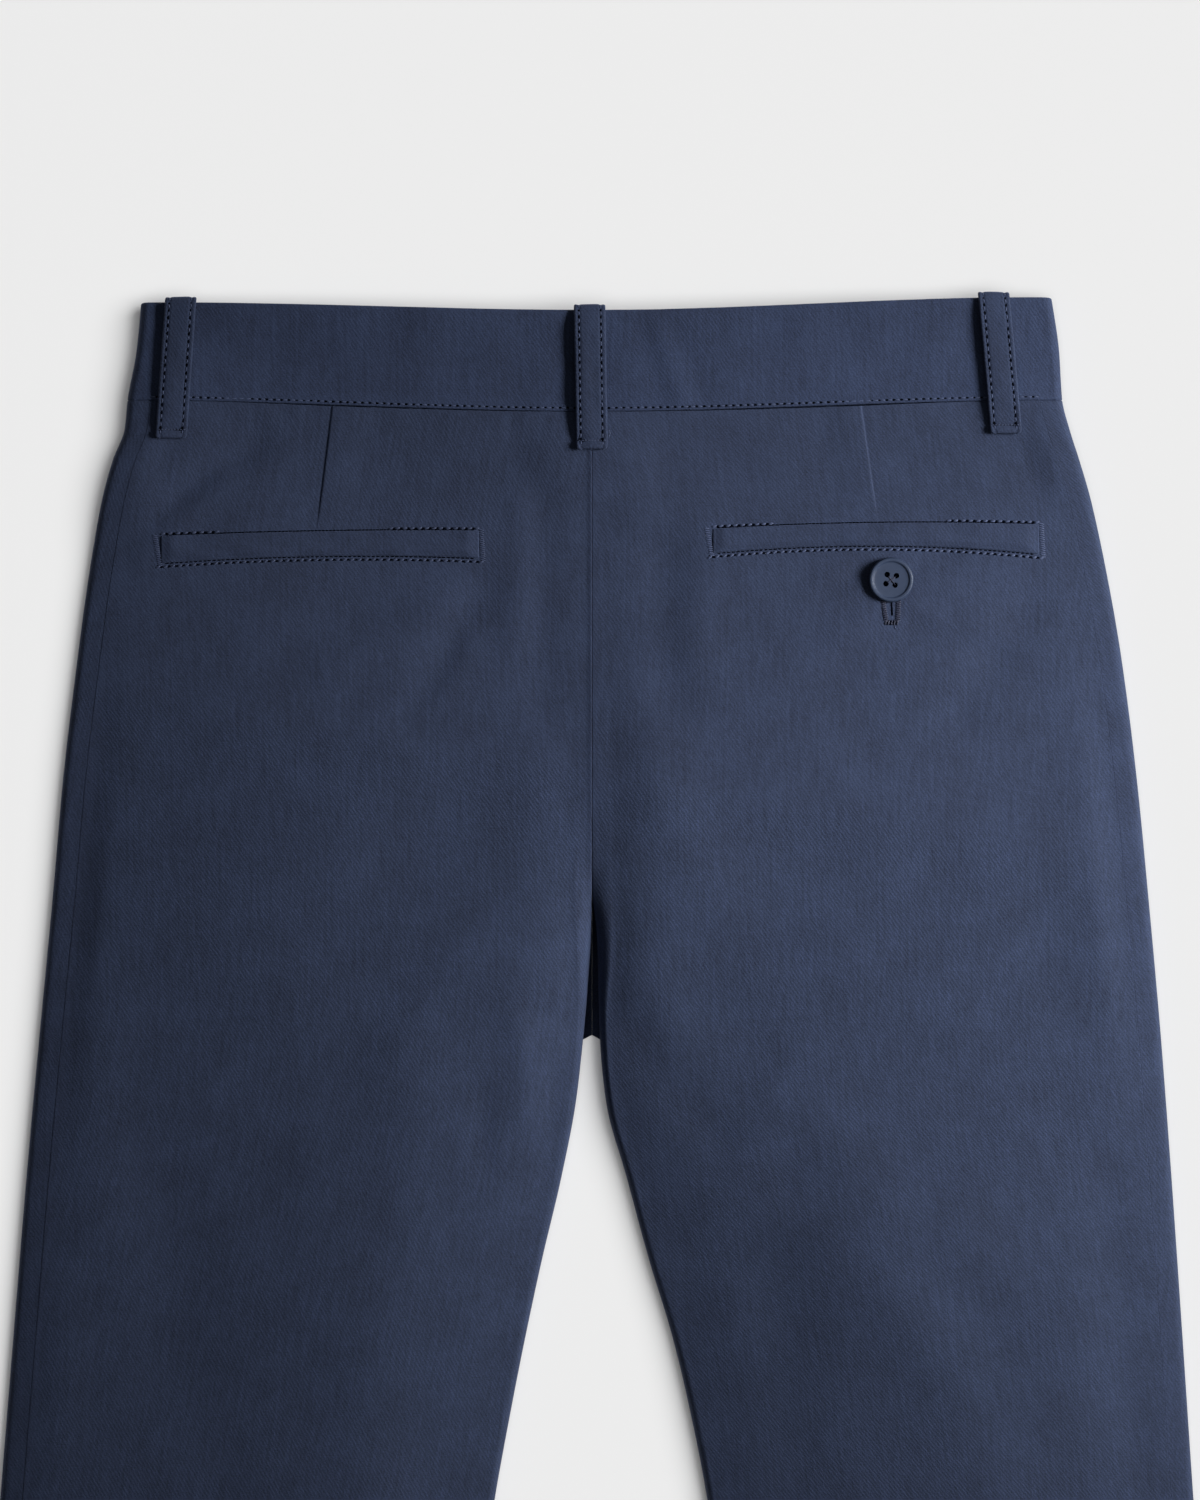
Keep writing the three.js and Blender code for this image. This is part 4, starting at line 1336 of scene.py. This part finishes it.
@dataclass(frozen=True)
class Sewing:
    """All the rows of sewing that show, by what they hold."""

    finishes: Finishes
    waist_inset: float = 1.15

    def sew(self, name: str, rows: list[Row], grain: Grain, finish: bpy.types.Material,
            holes: float = 0.0) -> None:
        """Makes rows of stitches into one piece, and dark grains of painted shade in their stitch holes into
        another.

        Args:
            name: The piece's name.
            rows: The rows.
            grain: Shape of a stitch.
            finish: The thread.
            holes: Diameter of the painted shade grains in the stitch holes, or 0 for none.
        """
        row = Row.joined(rows)
        stitched(name, row, grain, finish)
        if holes:
            # Painted shade: dark grains in the stitch holes between the stitches.
            gaps = Row.joined([r.between(0.06) for r in rows])
            dot = Grain(holes * 1.4, holes, 0.26)
            stitched(f"{name}_needle_holes", gaps, dot, self.finishes.needle)

    def waist_seam(self, side: Side) -> list[Row]:
        """The row along the lower edge of the band, on the back and underneath on the front.

        Args:
            side: The half.

        Returns:
            Both rows.
        """
        share = np.linspace(0.03, 0.995, 240)
        rows = []
        down = BAND[side].edge("seam", Face.BACK, share) - self.waist_inset
        section = Section.at(side, down)
        inset = section.start + (section.width - section.start) * share
        rows.append(Row.on_cloth(section.outer - side.sign * inset, down, 0.33, 2.5, 31))
        down = BAND[side].edge("seam", Face.FRONT, share) - self.waist_inset
        section = Section.at(side, down)
        line = section.under(side, share, down, section.inner, lift=0.05)
        rows.append(Row.follow(line, np.broadcast_to(UNDER, line.shape), 2.5, 32))
        return rows

    def loop_rows(self, loop: BeltLoop) -> tuple[list[Row], list[Row]]:
        """The two rows along a belt loop's edges and the bar across its lower end.

        Args:
            loop: The belt loop.

        Returns:
            The edge rows, and the bar.
        """
        path, turns = loop.path(loop.step)
        points, run = path[4:-3], turns[4:-3]
        up = 1.0 if loop.face is Face.BACK else -1.0
        normal = np.stack([np.zeros(len(run)), run[:, 1], up * run[:, 0]], axis=1)
        row = loop.width / 2 - loop.stitch_inset
        edges = []
        for k, across in enumerate((-row, row)):
            line = loop.on_strap(points, run, np.full((1, 1), across), np.full((1, 1), loop.wall / 2 - 0.04))
            edges.append(Row.follow(line[:, 0], unit(normal), 2.6, 40 + k + len(loop.name)))
        bar = np.argmin(np.abs(path[:, 0] - (loop.end - loop.bar_above_end)))
        across = np.linspace(-loop.width / 2 + 0.7, loop.width / 2 - 0.7, 12)[None, :]
        at = slice(bar, bar + 1)
        line = loop.on_strap(path[at], turns[at], across, np.full((1, 1), loop.wall / 2 - 0.02))
        line = line.reshape(-1, 3)
        up_here = np.broadcast_to([0.0, turns[bar, 1], up * turns[bar, 0]], line.shape)
        return edges, [Row.follow(line, unit(up_here), 1.05, 60)]

    def pocket(self, side: Side) -> tuple[list[Row], list[Row], list[Row]]:
        """The sewing round a welt.

        Args:
            side: The half.

        Returns:
            The slanted row below it and the rows near both ends of its mouth, the dense bars at its
            ends, and two dotted lines of painted shade, one along its mouth and one along the seam below it.
        """
        welt = WELTS[side]
        length = abs(welt.to_x - welt.x)
        grown = np.linspace(-2.2 / length, 1 + 2.0 / length, 160)
        x, top = welt.at(grown, np.zeros(1))
        bottom = welt.at(grown, np.ones(1))[1]
        below = Row.on_cloth(x, bottom + 1.35, 0.14, 2.45, 71).slanted(20)
        ends = []
        for low, high in ((0.0, 0.18), (0.72, 1.0)):
            part = (grown >= low - 0.01) & (grown <= high + 0.01)
            ends.append(Row.on_cloth(x[part], top[part] - 0.75, 0.14, 2.45, 72).slanted(14))
        bars = []
        for share, lean in ((-1.3 / length, 1.6), (1 + 1.1 / length, 0.6)):
            v = np.linspace(-0.06, 1.12, 40)
            bx, bd = welt.at(np.full(40, share), v)
            row = Row.on_cloth(bx + lean * (v - 0.5), bd, 0.12, 0.74, 73)
            bars.append(row.slanted(76))
        part = (grown > 0.01) & (grown < 0.99)
        # Painted shade: dark dots along the welt's mouth and along the seam under its lower edge, where
        # shadow falls.
        mouth = Row.on_cloth(x[part], top[part] - 0.28, 0.05, 1.25, 74)
        seam = Row.on_cloth(x[part], bottom[part] + 0.25, 0.05, 1.6, 75)
        return [below] + ends, bars, [mouth, seam]

    def hems(self, side: Side) -> list[Row]:
        """The row above each hem, on the back and underneath on the front.

        Args:
            side: The half.

        Returns:
            Both rows.
        """
        down = np.full(120, HEM - HEM_DEPTH)
        section = Section.at(side, down)
        inset = np.linspace(SIDE_SEAM_INSET + 1, section.end[0] - 1, 120)
        upper = Row.on_cloth(section.outer - side.sign * inset, down, 0.1, 3.0, 81)
        inset = np.linspace(4.0, section.width[0] - 1.5, 120)
        line = place(section.outer - side.sign * inset, down, np.full(120, 0.06))
        return [upper, Row.follow(line, np.broadcast_to(UNDER, line.shape), 3.0, 82)]

    def front_rows(self) -> list[Row]:
        """Underneath: the fly's curved row and the row along each slanted side pocket."""
        t = np.linspace(0, 1, 120)
        straight = np.minimum(t / 0.72, 1)
        bend = np.clip((t - 0.72) / 0.28, 0, 1) * math.pi / 2
        x = -33.0 + 33.0 * (1 - np.cos(bend))
        down = 44 + 118 * straight + 30 * np.sin(bend)
        rows = [place(x, down, np.zeros(120))]
        for side in Side:
            top, low = 42.0, 168.0
            down = top + (low - top) * t
            outer = Section.at(side, down).outer
            rows.append(place(outer - side.sign * (58 - 52 * t ** 1.15), down, np.zeros(120)))
        made = []
        for k, line in enumerate(rows):
            line[:, 2] = FORM.at("floor", WAIST_Y - line[:, 1]) + 0.06
            made.append(Row.follow(line, np.broadcast_to(UNDER, line.shape), 2.8, 90 + k))
        return made

    def build(self) -> None:
        """Makes every row."""
        fine = Grain(1.7, 0.5, 0.34)
        rope = Grain(1.75, 0.8, 0.55)
        bar = Grain(1.9, 0.46, 0.42)
        thread, bright = self.finishes.thread, self.finishes.bright_thread
        self.sew("stitches_waist_seam", self.waist_seam(Side.LEFT) + self.waist_seam(Side.RIGHT),
                 fine, bright, holes=0.85)
        for loop in LOOPS:
            edges, end = self.loop_rows(loop)
            self.sew(f"stitches_{loop.name}", edges, Grain(1.25, 0.45, 0.34), bright, holes=0.92)
            self.sew(f"bar_{loop.name}", end, Grain(1.0, 0.45, 0.36), thread, holes=0.95)
        for side in Side:
            frame_rows, ends, shade_lines = self.pocket(side)
            # Painted light: the right pocket, on the lit side, gets the lighter slate thread and the left
            # pocket the darker navy, though both are sewn with one thread.
            side_lit_rope_thread = bright if side is Side.RIGHT else thread
            self.sew(f"stitches_pocket_{side.value}", frame_rows, rope, side_lit_rope_thread, holes=0.78)
            self.sew(f"bars_pocket_{side.value}", ends, bar, side_lit_rope_thread)
            # Painted shade along each welt's mouth and lower seam.
            stitched(f"pocket_mouth_line_{side.value}", Row.joined(shade_lines), Grain(1.3, 0.46, 0.24),
                     self.finishes.needle)
            self.sew(f"stitches_hem_{side.value}", self.hems(side), Grain(2.1, 0.45, 0.28), thread)
        self.sew("stitches_front", self.front_rows(), Grain(2.0, 0.45, 0.28), thread)
        t = np.linspace(0, 1, 12)
        end = Row.on_cloth(5.9 + 0.25 * np.sin(4 * t), 41.6 + 2.9 * t, 1.1, 1.3, 95)
        self.sew("belt_loop_thread_end", [end], Grain(1.7, 0.3, 0.3), bright)


@dataclass(frozen=True)
class Button:
    """A turned button with four holes: raised rim and sunk middle. turn is about its own axis."""

    name: str
    x: float
    down: float
    turn: float
    z: float
    tilt: float = 0.0
    upside_down: bool = False
    radius: float = 7.65
    height: float = 2.4
    hole: float = 0.95
    pitch: float = 3.2

    def profile(self) -> Array:
        """Radius and height from the middle of the back, round the rim, to the middle of the top: a
        smooth curve through the turned profile's corners."""
        rim = self.radius - 0.45
        corners = np.array([
            (0, 0), (self.radius - 1.3, 0), (self.radius - 0.7, 0.06), (self.radius - 0.15, 0.5),
            (self.radius + 0.1, 1.1), (self.radius, 1.75), (rim + 0.15, self.height - 0.1),
            (rim - 0.2, self.height), (rim - 0.75, self.height - 0.06), (rim - 1.0, self.height - 0.3),
            (rim - 1.2, self.height - 0.5), (rim - 2.2, self.height - 0.58), (0, self.height - 0.62)])
        walk = walked(corners, 0)
        fine = np.unique(np.concatenate([walk, np.linspace(walk[1], walk[-2], 44)]))
        curve = np.stack([np.interp(fine, walk, corners[:, k]) for k in (0, 1)], axis=1)
        soft = curve.copy()
        for _ in range(2):
            soft[1:-1] = (soft[:-2] + 2 * soft[1:-1] + soft[2:]) / 4
        return soft

    def lathe(self, profile: Array, sides: int, centre: tuple[float, float] = (0.0, 0.0)) -> bpy.types.Mesh:
        """The profile turned about an upright axis, closed at both ends on it.

        Args:
            profile: Radius and height of its points.
            sides: Number of sides.
            centre: Where the axis stands.

        Returns:
            The mesh.
        """
        angle = np.arange(sides) * 2 * math.pi / sides
        ring = profile[1:-1]
        points = np.stack(np.broadcast_arrays(
            ring[:, :1] * np.cos(angle), ring[:, :1] * np.sin(angle), ring[:, 1:]), axis=-1).reshape(-1, 3)
        points = np.concatenate([points, [[0, 0, profile[0, 1]], [0, 0, profile[-1, 1]]]]) + (*centre, 0)
        return put_mesh(self.name, points, list(spindle_faces(len(ring), sides)))

    def hole_centres(self) -> Array:
        """Middles of the four holes."""
        return np.array([(x, y) for x in (-0.5, 0.5) for y in (-0.5, 0.5)]) * self.pitch

    def to_place(self, points: Array) -> Array:
        """Turns points of the button's own frame, then tilts them with the cloth and moves them.

        Args:
            points: Points in the button's own frame, (n, 3).

        Returns:
            Points of the garment's frame.
        """
        cos, sin = math.cos(self.turn), math.sin(self.turn)
        x, y, z = points.T
        x, y = x * cos - y * sin, x * sin + y * cos
        if self.upside_down:
            y, z = -y, -z
        cos, sin = math.cos(self.tilt), math.sin(self.tilt)
        x, z = x * cos - z * sin, x * sin + z * cos
        return np.stack([x + self.x, y + WAIST_Y - self.down, z + self.z], axis=-1)

    def build(self, finishes: Finishes) -> None:
        """Turns the body, cuts the holes through it, then puts it in place with its thread.

        Args:
            finishes: The garment's materials.
        """
        mesh = self.lathe(self.profile(), 96)
        body = bpy.data.objects.new("blank", mesh)
        bpy.context.scene.collection.objects.link(body)
        cutters = []
        for x, y in self.hole_centres():
            rod = np.array([(0, -1), (self.hole, -1), (self.hole, 4), (0, 4)], float)
            drill = self.lathe(rod, 32, (x, y))
            cutter = bpy.data.objects.new("drill", drill)
            bpy.context.scene.collection.objects.link(cutter)
            cut = body.modifiers.new("hole", "BOOLEAN")
            cut.object, cut.operation, cut.solver = cutter, "DIFFERENCE", "EXACT"
            cutters.append(cutter)
        drilled = bpy.data.meshes.new_from_object(body.evaluated_get(bpy.context.evaluated_depsgraph_get()))
        for spare in [body] + cutters:
            bpy.data.objects.remove(spare)
        points = np.zeros(3 * len(drilled.vertices))
        drilled.vertices.foreach_get("co", points)
        drilled.vertices.foreach_set("co", (self.to_place(points.reshape(-1, 3) / MM) * MM).ravel())
        drilled.set_sharp_from_angle(angle=math.radians(40))
        drilled.update()
        make_piece(f"{self.name}_turned", drilled, finishes.resin, (self.name,))
        centres = self.hole_centres()
        pairs = ((0, 3), (1, 2), (0, 3), (1, 2))
        at = np.array([[*(centres[a] + centres[b]) / 2 + (0.18 * (k // 2), -0.12 * (k // 2)),
                        self.height - 0.5 + 0.1 * (k % 2)] for k, (a, b) in enumerate(pairs)])
        along = np.array([[*(centres[b] - centres[a]), 0.0] for a, b in pairs])
        ends = self.to_place(at + along), self.to_place(at)
        tops = self.to_place(at + np.array([0.0, 0, 1]))
        name = f"{self.name}_thread"
        grain = Grain(self.pitch * 1.15, 0.34, 0.3)
        make_piece(name, grain.mesh(name, ends[1], ends[0] - ends[1], tops - ends[1]),
                   finishes.dark_thread)
        # Partly real thread through the button's holes, partly painted shade: it takes the near-black shade
        # finish so the holes read dark.
        bottom = np.concatenate([centres, np.full((4, 1), 0.35)], axis=1)
        foot, rise = self.to_place(bottom), self.to_place(bottom + (0.0, 0, 1)) - self.to_place(bottom)
        side = self.to_place(bottom + (1.0, 0, 0)) - foot
        name = f"{self.name}_shank_thread"
        make_piece(name, Grain(1.5, 1.5, 1.5).mesh(name, foot, rise, side), finishes.needle)


@dataclass(frozen=True)
class Buttonhole:
    """The worked buttonhole, whose lower end shows under the button."""

    left: tuple[float, float] = (99.0, 101.3)
    right: tuple[float, float] = (105.9, 105.3)
    top: float = 91.5
    end: float = 107.6
    slit_above: float = 2.2

    def build(self, finishes: Finishes) -> None:
        """Two columns of purl stitches beside the slit with painted shade between them, a bar across its end,
        the slit as a dark line of painted shade, and the thread's cut end.

        Args:
            finishes: The garment's materials.
        """
        t = np.linspace(0, 1, 60)
        down = self.top + (self.end - self.top) * t
        columns = [Row.on_cloth(start + (end - start) * t, down, 0.16, 0.64, 101).slanted(turn)
                   for (start, end), turn in ((self.left, 70), (self.right, 104))]
        across = np.linspace(self.left[1] - 0.6, self.right[1] + 0.4, 30)
        bar = Row.on_cloth(across, np.full(30, self.end + 0.3), 0.2, 0.9, 102).slanted(80)
        # Painted shade: the slit is drawn as dark grains where shadow falls in the cut.
        slit = Row.on_cloth(102.6 + 0.8 * t, down - self.slit_above, 0.06, 1.0, 103)
        tail = Row.on_cloth(104.1 + 0.5 * t, 108.2 + 2.3 * t, 0.12, 1.2, 104)
        rows = Row.joined(columns + [bar])
        gaps = Row.joined([row.between(0.05) for row in columns + [bar]])
        for name, row, grain, finish in (
            ("buttonhole_purl", rows, Grain(2.0, 0.5, 0.46), finishes.dark_thread),
            ("buttonhole_purl_shade", gaps, Grain(1.8, 0.3, 0.3), finishes.needle),
            ("buttonhole_slit_shade", slit, Grain(1.5, 0.75, 0.22), finishes.needle),
            ("buttonhole_thread_end", tail, Grain(1.6, 0.26, 0.26), finishes.bright_thread),
        ):
            stitched(name, row, grain, finish)


@dataclass(frozen=True)
class Studio:
    """The pale surface, the soft lights and the camera straight above."""

    frame_height: float = 517.5
    centre_x: float = 2.76
    centre_y: float = 296.2
    camera_height: float = 2200.0
    cloth_height: float = 8.0
    sensor: float = 36.0
    floor_size: float = 30.0
    floor_z: float = -0.2

    def soft_light(self, name: str, at: tuple[float, float, float], aim: tuple[float, float, float],
                   size: float, watts: float, spread: float = 180.0,
                   lights: bpy.types.Collection | None = None) -> None:
        """A square area light that the camera doesn't see.

        Args:
            name: The light's name.
            at: Its place in metres.
            aim: The point that it faces.
            size: Length of its side in metres.
            watts: Its power.
            spread: Its beam's spread in degrees.
            lights: The pieces that it lights, or all of them.
        """
        data = bpy.data.lights.new(name, "AREA")
        data.size, data.energy, data.spread = size, watts, math.radians(spread)
        light = bpy.data.objects.new(name, data)
        bpy.context.scene.collection.objects.link(light)
        light.location = at
        towards = np.array(aim) - np.array(at)
        light.rotation_mode = "QUATERNION"
        light.rotation_quaternion = Vector(towards).to_track_quat("-Z", "Y")
        light.visible_camera = False
        if lights:
            light.light_linking.receiver_collection = lights

    def ground_sun(self, ground: bpy.types.Collection) -> None:
        """A wide, distant light from the right that falls on the ground alone."""
        data = bpy.data.lights.new("window_far", "SUN")
        data.energy, data.angle = 2.62, math.radians(50)
        light = bpy.data.objects.new("window_far", data)
        light.rotation_euler = (math.radians(-8), math.radians(42), 0.0)
        bpy.context.scene.collection.objects.link(light)
        light.light_linking.receiver_collection = ground

    def build(self) -> None:
        """Lays the floor, hangs the lights and sets the camera."""
        half = self.floor_size / 2 / MM
        corners = np.array([(-half, -half, self.floor_z), (half, -half, self.floor_z),
                            (half, half, self.floor_z), (-half, half, self.floor_z)])
        mesh = bpy.data.meshes.new("table_surface")
        mesh.from_pydata((corners * MM).tolist(), [], [(0, 1, 2, 3)])
        mesh.materials.append(PaleCard().build())
        floor = bpy.data.objects.new("table_surface", mesh)
        bpy.context.scene.collection.objects.link(floor)
        ground = bpy.data.collections.new("ground")
        ground.objects.link(floor)
        self.soft_light("overhead", (0.0, 0.3, 3.4), (0.0, 0.3, 0.0), 3.2, 7.2)
        self.soft_light("window_right", (1.004, 0.385, 0.508), (0.307, 0.302, 0.0), 0.6, 2.78, 39.0, GARMENT)
        self.soft_light("window_right_low", (1.004, -0.53, 0.508), (0.307, -0.53, 0.0), 0.6, 2.0, 39.0,
                        GARMENT)
        self.soft_light("ground_overhead", (0.6, 0.3, 3.4), (0.0, 0.3, 0.0), 3.2, 54.0, lights=ground)
        self.ground_sun(ground)
        world = bpy.data.worlds.new("studio_air")
        world.use_nodes = True
        tree = world.node_tree
        tree.nodes.clear()
        seen = add_node(tree, "ShaderNodeBackground", {"Color": linear("#e4e4e6"), "Strength": 1.0})
        air = add_node(tree, "ShaderNodeBackground", {"Color": (1.0, 1.0, 1.0, 1), "Strength": 0.05})
        path = add_node(tree, "ShaderNodeLightPath", {})
        mixed = add_node(tree, "ShaderNodeMixShader", {
            0: path.outputs["Is Camera Ray"], 1: air.outputs[0], 2: seen.outputs[0]})
        add_node(tree, "ShaderNodeOutputWorld", {"Surface": mixed.outputs[0]})
        scene = bpy.context.scene
        scene.world = world
        scene.view_settings.view_transform = "Standard"
        camera = bpy.data.cameras.new("camera")
        camera.sensor_width = self.sensor
        camera.lens = self.sensor * self.camera_height / self.frame_height
        camera.clip_start, camera.clip_end = 0.05, 100.0
        eye = bpy.data.objects.new("camera", camera)
        scene.collection.objects.link(eye)
        eye.location = (self.centre_x * MM, self.centre_y * MM, (self.camera_height + self.cloth_height) * MM)
        scene.camera = eye


def pocket_button() -> Button:
    """The fastened button of the right back pocket, lying square on the cloth under it."""
    x, down, half = 102.5, 93.2, HALVES[Side.RIGHT]
    spots = np.array([x, x + 5, x - 5])
    section = Section.at(Side.RIGHT, np.full(3, down))
    height = section.crown(Side.RIGHT.sign * (section.outer - spots))
    here = float(half.over(np.array([x]), np.array([down]))[0])
    tilt = math.atan((height[1] - height[2]) / 10)
    return Button("back_pocket_button", x + 0.4, down, -0.14, here + 0.45, tilt)


def main() -> None:
    """Builds the scene, piece by piece."""
    logging.basicConfig(level=logging.INFO, format="%(message)s")
    Studio().build()
    finishes = Finishes.build()
    for side in Side:
        Panels(HALVES[side]).build(finishes)
        Waistband(HALVES[side]).build(finishes)
        WELTS[side].build(finishes)
    for loop in LOOPS:
        loop.build(finishes)
    Sewing(finishes).build()
    Buttonhole().build(finishes)
    pocket_button().build(finishes)
    Button("waist_button", -9.5, 24.0, 0.1, 2.4, upside_down=True).build(finishes)


if __name__ == "__main__":
    main()
